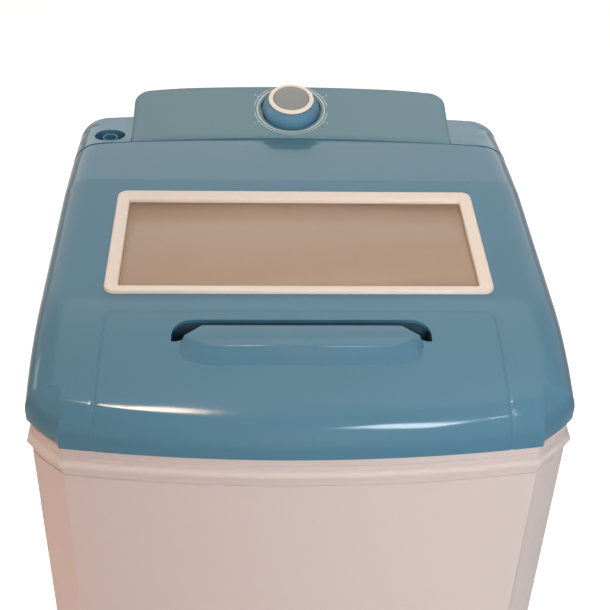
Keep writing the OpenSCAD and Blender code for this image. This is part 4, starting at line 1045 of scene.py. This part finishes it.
# %% Knob
knob_s = 41
knob_place = (Matrix.Translation((0, seam_y + seam_gap + knob_s * math.cos(console_tilt),
                                  console_z1 + knob_s * math.sin(console_tilt)))
              @ Matrix.Rotation(console_tilt, 4, "X"))
knob_r, knob_ring_r, knob_h = 29, 22.6, 15.4
recess_r, recess_h = knob_r + 2, 7
grip_z = knob_h - 2.8
cut(console_shell, [lathe("recess", [(0.01, -recess_h), (recess_r, -recess_h), (recess_r, 20), (0.01, 20)],
                          knob_place, 128)], 40)


def arc_points(cx, cz, r, start, end, count):
    """Points on an arc of a profile, between two angles in degrees."""
    turns = [math.radians(a) for a in spread(start, end, count)]
    return [(cx + r * math.cos(a), cz + r * math.sin(a)) for a in turns]


skirt_profile = ([(0.5, -5.9), (knob_r - 1, -5.9)] + arc_points(knob_r - 0.8, -5.1, 0.8, -90, 0, 4)
                 + [(knob_r, 1.5), (knob_r - 0.3, 3.0), (knob_r - 1.0, 5.0), (knob_r - 2.3, 7.4),
                    (knob_r - 4.2, 9.6)] + arc_points(knob_ring_r + 0.2, 10.4, 1.2, 20, 90, 4)
                 + [(knob_ring_r - 1, grip_z - 0.4), (0.5, grip_z - 0.4)])
ring_profile = ([(knob_ring_r - 4.4, grip_z - 0.3)]
                + arc_points(knob_ring_r - 0.9, grip_z + 0.7, 0.9, -90, 30, 5)
                + [(knob_ring_r - 1.0, knob_h - 1.6)]
                + arc_points(knob_ring_r - 3.5, knob_h - 1.1, 0.7, 60, 150, 4)
                + [(knob_ring_r - 4.4, knob_h - 1.4), (knob_ring_r - 4.4, grip_z - 0.3)])
cap_r, cap_dome = knob_ring_r - 4.5, 1.6
cap_profile = [(0.01, grip_z), (cap_r, grip_z), (cap_r, knob_h - 1.2), (cap_r - 0.5, knob_h - 0.75)]
cap_profile += [(r, knob_h - 0.7 + cap_dome * (1 - (r / cap_r) ** 2)) for r in (15, 12, 9, 6, 3, 0.01)]
knob_skirt = lathe("knob_flare", skirt_profile, knob_place, 128, 40)
knob_ring = lathe("knob_band", ring_profile, knob_place, 128, 40)
knob_cap = lathe("knob_button", cap_profile, knob_place, 128, 40)
print("knob parts:", [len(p.data.vertices) for p in (knob_skirt, knob_ring, knob_cap)])

# %% Dial
paint_h = 0.12
dial_ring_r, dial_band_r = 37.4, 33.6


def on_panel(r, turn):
    """Whether a place on the dial lies on the flat of the panel; turn counts clockwise from the top."""
    x, y, _ = knob_place @ Vector((r * math.sin(turn), r * math.cos(turn), 0))
    return console_inside(x, y) > console_round


def flat_ring(name, r, width):
    """A printed ring, open at the top, where the panel rounds off behind the knob."""
    sections = []
    for turn in spread(0, 2 * math.pi, 180):
        if on_panel(r, turn):
            sections.append([knob_place @ Vector((q * math.sin(turn), q * math.cos(turn), z)) for q, z in
                             ((r - width, 0.02), (r, 0.02), (r, paint_h), (r - width, paint_h))])
    return stack(name, sections)


def tick(turn, r0, r1, width):
    """A printed stroke that points at the knob; turn is counted clockwise from the top."""
    place = knob_place @ Matrix.Rotation(-turn, 4, "Z")
    corners = [(-width / 2, r0), (width / 2, r0), (width / 2, r1), (-width / 2, r1)]
    points = [place @ Vector((x, y, z)) for z in (0.02, paint_h) for x, y in corners]
    faces = [(3, 2, 1, 0), (4, 5, 6, 7)] + [(k, (k + 1) % 4, 4 + (k + 1) % 4, 4 + k) for k in range(4)]
    return make_piece("tick", points, faces)


def dial_number(text, turn, r, size):
    """A plain printed number, upright on the panel."""
    curve = bpy.data.curves.new("number", "FONT")
    curve.body = text
    curve.size = size * MM
    curve.extrude = 0.05 * MM
    curve.align_x = "CENTER"
    curve.align_y = "CENTER"
    label = bpy.data.objects.new("number", curve)
    bpy.context.scene.collection.objects.link(label)
    shift = Matrix.Translation((r * math.sin(turn), r * math.cos(turn), 0.08))
    tilt = knob_place @ shift
    label.matrix_world = Matrix.Translation(tilt.translation * MM) @ tilt.to_3x3().to_4x4()
    bpy.context.view_layer.update()
    mesh = bpy.data.meshes.new_from_object(label.evaluated_get(bpy.context.evaluated_depsgraph_get()))
    mesh.transform(label.matrix_world)
    bpy.data.objects.remove(label)
    piece = bpy.data.objects.new("number", mesh)
    bpy.context.scene.collection.objects.link(piece)
    return piece


minutes = 5                     # the timer's full turn
dial_marks = [flat_ring("dial_line", dial_ring_r, 0.7), flat_ring("dial_band", dial_band_r + 1.2, 1.3)]
for k in range(minutes + 1):
    mark_turn = math.radians(180 + 60 * k)
    if not on_panel(dial_ring_r + 7, mark_turn):
        continue                # the topmost mark would hang over the panel's back edge
    dial_marks.append(tick(mark_turn, dial_ring_r + 0.4, dial_ring_r + 2.2, 0.8))
    if k:
        dial_marks.append(dial_number(str(k), mark_turn, dial_ring_r + 4.6, 3.8))
dial_print = join("dial_print", dial_marks)
print("dial print:", len(dial_print.data.polygons), "faces")

# %% [markdown]
# ## Cabinet
# The cabinet is a tall wall with a rim moulding pushed over it. The rim carries the bead and the
# edge that stands inside the lid, and the joint shows as a fine line under the bead. The same
# outline is stacked at each height of their sections, so bead and corner steps run together.

# %% Cabinet shell
shell_in = 1.5
bead_z = rim_z - 22
shell_top = box_mm("top_rim")[1][2]
bead_out = 1.8
collar_z = rim_z - 12


joint_z = bead_z - 11.2         # the rim's own moulding starts here


def section_piece(name, lines):
    """A closed band round the machine from (height, inset) lines of its section."""
    rings = [[(x, y, z) for x, y in outline(inset)] for z, inset in lines]
    return stack(name, rings + [rings[0]], close_ends=False, sharp=42)


def wall_lines():
    low = shell_low[2]
    lines = [(low, shell_in + 1.0), (low + 1.2, shell_in)]
    lines += [(z, shell_in) for z in spread(60, joint_z - 2, 6)]
    lines += [(joint_z - 1.1, shell_in), (joint_z - 0.7, shell_in + 0.2), (joint_z - 0.6, shell_in + 0.8),
              (joint_z, shell_in + 0.8)]
    return lines + [(joint_z, shell_in + wall), (low, shell_in + wall)]


def rim_lines():
    lines = [(joint_z, shell_in + wall), (joint_z, shell_in + 0.8), (joint_z + 0.7, shell_in + 0.8),
             (joint_z + 0.8, shell_in + 0.2), (joint_z + 1.2, shell_in), (bead_z - 4.6, shell_in)]
    for a in spread(-math.pi / 2, math.pi / 2, 12):
        lines.append((bead_z + 4.2 * math.sin(a), shell_in - (shell_in + bead_out) * math.cos(a)))
    lines += [(bead_z + 4.5, shell_in + 0.7), (bead_z + 8.6, shell_in + 0.7), (bead_z + 9, shell_in + 1.4),
              (shell_top - 0.6, shell_in + 1.4), (shell_top, shell_in + 1.9)]
    face = shell_in + wall      # inner face of the wall
    lines += [(shell_top, face + 0.6), (shell_top - 0.3, face + 0.8), (collar_z, face + 0.8),
              (collar_z, face + 10), (collar_z - 3, face + 10), (collar_z - 3, face)]
    inner = face + 0.3
    return lines + [(joint_z + 5, face), (joint_z + 2, inner + 2.5), (joint_z - 12, inner + 2.5),
                    (joint_z - 12, inner), (joint_z - 0.3, inner)]


cabinet_wall = section_piece("cabinet_wall", wall_lines())
rim_band = section_piece("rim_band", rim_lines())
gland = box_mm("cord_gland")
spigot = box_mm("drain_spigot")
drain_x, drain_z = (spigot[0][0] + spigot[1][0]) / 2, (spigot[0][2] + spigot[1][2]) / 2
recess_back = bow_back(drain_x, shell_in) - 22
recess_out_r = 24


def round_cutter(x, z, r):
    turn = Matrix.Translation((x, 150, z)) @ Matrix.Rotation(-math.pi / 2, 4, "X")
    return lathe("round_cutter", [(0.01, 0), (r, 0), (r, 120), (0.01, 120)], turn, 72)


panel_low, panel_high = box_mm("rear_panel")
flange = 12                     # the panel overlaps its opening by this much
service = block("service", (panel_low[0] + flange, 150, panel_low[2] + flange),
                (panel_high[0] - flange, 300, panel_high[2] - flange), 1)
gland_x, gland_z = (gland[0][0] + gland[1][0]) / 2, (gland[0][2] + gland[1][2]) / 2
gland_hole_r = 6.6
holes = [round_cutter(drain_x, drain_z, recess_out_r), round_cutter(gland_x, gland_z, gland_hole_r)]
cut(cabinet_wall, [service] + holes, 42)
turn = Matrix.Translation((drain_x, recess_back, drain_z)) @ Matrix.Rotation(-math.pi / 2, 4, "X")
depth = bow_back(drain_x + recess_out_r, shell_in) - recess_back
spigot_hole_r, cup_wall = 11.1, 2.4
cup_profile = [(spigot_hole_r, -2.5), (recess_out_r + cup_wall, -2.5), (recess_out_r + cup_wall, depth - 2.8),
               (recess_out_r, depth - 0.6), (recess_out_r, 1.5), (recess_out_r - 1.5, 0),
               (spigot_hole_r, 0), (spigot_hole_r, -2.5)]
drain_recess = lathe("drain_recess", cup_profile, turn, 72, 40)
print("cabinet:", len(cabinet_wall.data.vertices), "points, rim:", len(rim_band.data.vertices))

# %% [markdown]
# ## Water inlet
# A short spigot stands in a round cup in the left wing, and a hose slips over it. Its rim is a
# soft ring that catches the light, so it is turned from a profile with a full round edge.

# %% Inlet spigot
nozzle_low, nozzle_high = box_mm("inlet_nozzle")
nozzle_r, nozzle_t = 7.5, 1.8
pocket_z = rim_z + 32


def spigot_profile():
    top = nozzle_high[2]
    inner = nozzle_r - nozzle_t
    lines = [(inner, nozzle_low[2]), (nozzle_r, nozzle_low[2]), (nozzle_r, pocket_z + 0.1),
             (nozzle_r + 2.6, pocket_z + 0.1), (nozzle_r + 3, pocket_z + 0.5),
             (nozzle_r + 2.8, pocket_z + 1.6), (nozzle_r + 0.9, pocket_z + 2), (nozzle_r, pocket_z + 2.8),
             (nozzle_r - 0.3, top - 3.2)]
    lines += arc_points(nozzle_r - 0.9, top - 0.9, 0.9, 0, 180, 8)
    return lines + [(inner, top - 2.5), (inner, nozzle_low[2])]


inlet_spigot = lathe("inlet_spigot", spigot_profile(), Matrix.Translation((inlet_x, inlet_y, 0)), 64)
print("inlet spigot stands", round(nozzle_high[2] - pocket_z, 1), "mm high in its cup")

# %% [markdown]
# ## Smoked window
# The pane is clear plastic tinted a warm grey. Real refraction would need many samples before
# light reached the drum through it, and a flat sheet hardly bends light. So the shader is made
# partly see-through by its alpha, and keeps a smooth surface for the reflections.

# %% Smoked pane's material
def smoked_plastic(name, tint, cover):
    material = finish(name, tint, rough=0.09, grain=0.1, waves=0.5, bump=0.05, drift=0.12, dust=0.12,
                      wear=0.0, rough_swing=0.04)
    tree = material.node_tree
    shader = tree.nodes["Principled BSDF"]
    coords = tree.nodes.new("ShaderNodeTexCoord")
    cloud = noise_node(tree, coords.outputs["Object"], 9.0, 3.0)
    haze = math_node(tree, "ADD", math_node(tree, "MULTIPLY", cloud, 0.1), cover - 0.05, clamp=True)
    tree.links.new(haze, shader.inputs["Alpha"])
    material.surface_render_method = "BLENDED"
    return material


pane_cover = 0.6
smoked_grey = smoked_plastic("smoked_grey_plastic", shade(194, 165, 139), pane_cover)
print("pane covers about", pane_cover)

# %% [markdown]
# ## Finishes of the works
# Under the lid and behind the service panel the machine shows steel, zinc, castings, rubber and
# plain mouldings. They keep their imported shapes, and each gets a finish of the same recipe. The
# grain is stretched where the real surface was brushed, turned or stacked from sheets.

# %% Metals, rubbers and inner mouldings
def plain_metal(name, colour, rough, **more):
    settings = {"metal": 1.0, "grain": 0.6, "grain_size": 700.0, "drift": 0.1, "dust": 0.04, "wear": 0.5,
                "bump": 0.12}
    settings.update(more)
    return finish(name, colour, rough, **settings)


around = (1.0, 1.0, 40.0)       # fine lines that run round an upright axis
FINISHES = {
    plain_metal("brushed_stainless", shade(198, 200, 204), 0.37, brush=around, grain_size=260.0, bump=0.2):
        ["drum"],
    plain_metal("cast_alloy", shade(176, 178, 180), 0.52, grain=1.2, grain_size=420.0, waves=0.8, bump=0.4):
        ["drum_hub", "motor_top", "motor_bottom"],
    plain_metal("ground_steel", shade(190, 191, 193), 0.18, rough_swing=0.03, brush=around, grain_size=300.0):
        ["drive_shaft", "motor_rotor", "brake_pin", "timer_shaft", "hinge_pins"],
    plain_metal("zinc_plate", shade(170, 174, 176), 0.42, drift=0.3, waves=1.0):
        ["base_screws", "panel_screws", "deck_screws", "collar_screws", "motor_bolts", "brake_arm",
         "cable_stop", "capacitor_clip"],
    plain_metal("spring_wire", shade(128, 131, 136), 0.4, drift=0.2):
        ["spring_front_left", "spring_front_right", "spring_back", "brake_spring", "brake_wire"],
    plain_metal("stacked_sheets", shade(92, 95, 100), 0.5, brush=around, grain=1.5, grain_size=60.0,
                bump=0.5):
        ["motor_stator"],
    plain_metal("turned_iron", shade(96, 96, 98), 0.42, brush=around, grain_size=200.0, drift=0.25):
        ["brake_drum"],
    plain_metal("turned_brass", shade(190, 158, 96), 0.38, brush=around, grain_size=300.0): ["seal_bush"],
    finish("black_paint", shade(44, 44, 46), rough=0.45, grain=0.9, waves=0.8, bump=0.25, wear=0.6,
           dust=0.25):
        ["motor_plate"],
    finish("black_rubber", shade(30, 30, 31), rough=0.72, grain=1.2, grain_size=600.0, bump=0.3, dust=0.3,
           wear=0.3):
        ["feet", "spring_cups", "lid_bumpers", "bellows_seal", "cord_gland", "brake_cable"],
    finish("grey_hose", shade(62, 62, 64), rough=0.6, grain=0.9, grain_size=500.0, bump=0.25, dust=0.3):
        ["inlet_hose", "drain_hose"],
    finish("brake_lining", shade(112, 70, 52), rough=0.85, grain=2.0, grain_size=350.0, bump=0.6, drift=0.4):
        ["brake_pad"],
    finish("dark_moulding", shade(46, 46, 48), rough=0.5, grain=0.9, grain_size=800.0, bump=0.2, dust=0.2):
        ["base_tray", "brake_actuator", "lid_switch", "drain_spigot", "drum_nut"],
    finish("tub_moulding", shade(172, 162, 152), rough=0.48, grain=0.6, bump=0.18, drift=0.15, dust=0.15):
        ["outer_tub", "timer_case"],
    finish("capacitor_shell", shade(206, 206, 202), rough=0.45, grain=0.5, drift=0.1): ["capacitor"],
    cabinet_white: ["top_collar", "rear_panel"],
    blue_gloss: ["rear_deck"],
}


def dress(node, material):
    """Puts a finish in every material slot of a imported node."""
    for slot in NODES[node].material_slots:
        slot.material = material


for material, nodes in FINISHES.items():
    for node in nodes:
        dress(node, material)
finished = sum(len(nodes) for nodes in FINISHES.values())
print("finished", finished, "packed nodes in", len(FINISHES), "finishes")

# %% [markdown]
# ## Putting the pieces on their bodies
# Each new piece rides on the body that carries its node, so it moves with the lid, the knob or
# the cabinet. The deck's skin only lies on its node, the print lies on the console, and the drain's
# cup adds to the cabinet's wall.

# %% Materials, bodies and nodes of the pieces
def coat_piece(piece, material):
    piece.data.materials.clear()
    piece.data.materials.append(material)


PIECES = [
    (lid_skin, blue_gloss, "lid", "lid", ["lid"]),
    (hump_shell, blue_gloss, "lid", "lid", ["lid"]),
    # the fittings get the lid's plastic darkened as painted shade
    (lid_fittings, painted_shade_blue, "lid", "lid", ["lid"]),
    (window_band, frame_white, "lid", "window_frame", ["window_frame"]),
    (smoked_pane, smoked_grey, "lid", "window_pane", ["window_pane"]),
    (deck_skin, blue_gloss, "cabinet", "rear_deck", []),
    (console_shell, console_blue, "cabinet", "console", ["console"]),
    (dial_print, dial_paint, "cabinet", "knob_ring", []),
    (knob_skirt, knob_blue, "knob", "knob_skirt", ["knob_skirt"]),
    (knob_ring, ring_white, "knob", "knob_ring", ["knob_ring"]),
    (knob_cap, cap_grey, "knob", "knob_cap", ["knob_cap"]),
    (inlet_spigot, blue_gloss, "cabinet", "inlet_nozzle", ["inlet_nozzle"]),
    (cabinet_wall, cabinet_white, "cabinet", "body_shell", ["body_shell"]),
    (drain_recess, cabinet_white, "cabinet", "body_shell", []),
    (rim_band, cabinet_white, "cabinet", "top_rim", ["top_rim"]),
]
for piece, material, body, slot, nodes in PIECES:
    coat_piece(piece, material)
    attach(piece, body)
    if nodes:
        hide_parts(*nodes)
print(len(PIECES), "pieces ride on their bodies")

# %% [markdown]
# ## Camera
# The camera stands where the photograph was taken from: in front, well above, and turned a few
# degrees. Its place came from the lines of the lid and the window, so no picture is needed here.

# %% Camera
def turned_axes(yaw, pitch, roll):
    """Right, up and forward of a camera that looks along +Y before it is turned."""
    forward = Vector((math.sin(yaw) * math.cos(pitch), math.cos(yaw) * math.cos(pitch), -math.sin(pitch)))
    right = Vector((math.cos(yaw), -math.sin(yaw), 0))
    up = right.cross(forward)
    c, s = math.cos(roll), math.sin(roll)
    return right * c + up * s, up * c - right * s, forward


focal_px, frame_px = 1218.6, 610
lens = bpy.data.cameras.new("camera")
lens.sensor_width = 36
lens.lens = focal_px / frame_px * lens.sensor_width
lens.clip_start, lens.clip_end = 0.05, 60
camera = bpy.data.objects.new("camera", lens)
bpy.context.scene.collection.objects.link(camera)
right, up, forward = turned_axes(math.radians(3.27), math.radians(37.76), math.radians(2.1))
stand = (-0.0411, -0.8975, 1.2699)
turned = Matrix((right, up, -forward)).transposed().to_4x4()
camera.matrix_world = Matrix.Translation(stand) @ turned
bpy.context.scene.camera = camera
print("lens of", round(lens.lens, 1), "mm")

# %% [markdown]
# ## Light, floor and background
# Broad lamps behind, above and in front give the plain level, and two narrowed fill lamps reach
# the upright walls. The fill lamps are kept out of reflections, because their outlines would
# show in the gloss. A narrow warm tube overhead and a cool window in front make the two bright
# streaks on the lid's roll. The floor takes the shadow, and looks white to the camera and in
# reflections, so that the object stands on a clean page.

# %% Lamps
def soft_lamp(name, start, end, aim, width, power, colour, mirrored, spread_angle):
    """A lamp whose long side runs from start to end; only a mirrored one shows in glossy surfaces."""
    start, end = Vector(start), Vector(end)
    light = bpy.data.lights.new(name, "AREA")
    light.shape = "RECTANGLE"
    light.size, light.size_y = (end - start).length, width
    light.energy = power
    light.color = colour
    light.spread = math.radians(spread_angle)
    lamp = bpy.data.objects.new(name, light)
    bpy.context.scene.collection.objects.link(lamp)
    place = (start + end) / 2
    along = (end - start).normalized()
    back = place - Vector(aim)
    back = (back - along * back.dot(along)).normalized()
    turned = Matrix((along, back.cross(along), back)).transposed().to_4x4()
    lamp.matrix_world = Matrix.Translation(place) @ turned
    lamp.visible_camera = False
    lamp.visible_glossy = mirrored
    return lamp


middle = (0, 0, 0.5)
LAMPS = [
    # name, start, end, aim, width, power, colour, mirrored, spread angle
    ("back_wall", (-2.5, 3.0, 2.6), (2.5, 3.0, 2.6), (0, 0, 2.6), 4.4, 20, (1.0, 0.85, 0.66), True, 180),
    ("front_fill", (-0.1, -2.2, 1.4), (0.6, -2.2, 1.4), middle, 1.6, 2.1, (0.97, 0.985, 1.0), False, 28),
    ("warm_side", (-1.3, -1.3, 0.5), (-1.5, -0.5, 0.5), (0, 0, 0.4), 0.7, 5, (1.0, 0.48, 0.22), False, 180),
    ("ceiling", (-0.9, 0.8, 2.8), (0.9, 0.8, 2.8), (0, 0.8, 0.6), 2.7, 14.5, (1.0, 0.96, 0.9), True, 180),
    ("room", (-3.0, -3.0, 2.2), (3.0, -3.0, 2.2), (0, 0, 2.2), 4.6, 5, (0.4, 0.7, 1.0), True, 180),
    ("rear_fill", (-0.9, 2.6, 1.1), (0.7, 2.6, 1.1), (0, 0, 0.4), 1.2, 4, (0.92, 0.96, 1.0), False, 40),
    ("warm_tube", (-0.44, -0.78, 2.4), (-0.18, -0.5, 2.4), (-0.1, -0.2, 0.64), 0.12, 8.5,
     (1.0, 0.8, 0.6), True, 180),
    ("window", (0.2, -1.02, 1.65), (0.43, -1.21, 1.38), (0.09, -0.22, 0.63), 0.13, 4.4,
     (0.88, 0.95, 1.0), True, 180),
    ("spark", (0.54, -1.16, 1.43), (0.58, -1.16, 1.43), (0.15, -0.22, 0.63), 0.05, 0.25,
     (0.9, 0.96, 1.0), True, 180),
    ("left_window", (-1.4, 0.1, 0.95), (-1.4, 0.55, 0.95), (-0.2, -0.19, 0.64), 0.3, 1.2,
     (0.72, 0.84, 1.0), True, 180),
]
lamps = [soft_lamp(*row) for row in LAMPS]
print("lamps:", [lamp.name for lamp in lamps])


# %% Floor and world
def page_white(tree, shader, glow, mirror_glow):
    """Adds one glow that only the camera sees, and one for mirrors and glass."""
    path = tree.nodes.new("ShaderNodeLightPath")
    mirrored = math_node(tree, "MAXIMUM", path.outputs["Is Glossy Ray"], path.outputs["Is Transmission Ray"])
    direct = math_node(tree, "MULTIPLY", path.outputs["Is Camera Ray"], glow)
    emission = tree.nodes.new("ShaderNodeEmission")
    total = math_node(tree, "ADD", direct, math_node(tree, "MULTIPLY", mirrored, mirror_glow))
    tree.links.new(total, emission.inputs["Strength"])
    both = tree.nodes.new("ShaderNodeAddShader")
    tree.links.new(shader, both.inputs[0])
    tree.links.new(emission.outputs[0], both.inputs[1])
    return both.outputs[0]


def floor_material():
    material = finish("pale_floor", (0.86, 0.86, 0.86, 1.0), rough=0.8, grain=0.2, bump=0.02, drift=0.02,
                      dust=0.0, wear=0.0)
    tree = material.node_tree
    out = tree.nodes["Material Output"]
    shown = page_white(tree, tree.nodes["Principled BSDF"].outputs[0], 0.65, 0.2)
    tree.links.new(shown, out.inputs["Surface"])
    return material


reach = 9000
corners = ((-reach, -reach), (reach, -reach), (reach, reach), (-reach, reach))
floor = make_piece("floor", [(x, y, 0) for x, y in corners], [(0, 1, 2, 3)])
coat_piece(floor, floor_material())
world = bpy.data.worlds.new("studio")
world.use_nodes = True
bpy.context.scene.world = world
tree = world.node_tree
sky = tree.nodes["Background"]
path = tree.nodes.new("ShaderNodeLightPath")
seen = math_node(tree, "MAXIMUM", path.outputs["Is Camera Ray"], path.outputs["Is Glossy Ray"])
seen = math_node(tree, "MAXIMUM", seen, path.outputs["Is Transmission Ray"])
level = 0.23
coords = tree.nodes.new("ShaderNodeTexCoord")
parts = tree.nodes.new("ShaderNodeSeparateXYZ")
tree.links.new(coords.outputs["Generated"], parts.inputs[0])
side = math_node(tree, "ADD", math_node(tree, "MULTIPLY", parts.outputs["X"], 0.7), 0.6, clamp=True)
tint = mix_colour(tree, side, (0.82, 0.42, 0.22, 1), (0.76, 0.74, 0.74, 1))
tree.links.new(mix_colour(tree, seen, tint, (1, 1, 1, 1)), sky.inputs["Color"])
strength = math_node(tree, "ADD", math_node(tree, "MULTIPLY", seen, 1 - level), level)
tree.links.new(strength, sky.inputs["Strength"])
bpy.context.scene.view_settings.view_transform = "Standard"
print("world at", level)
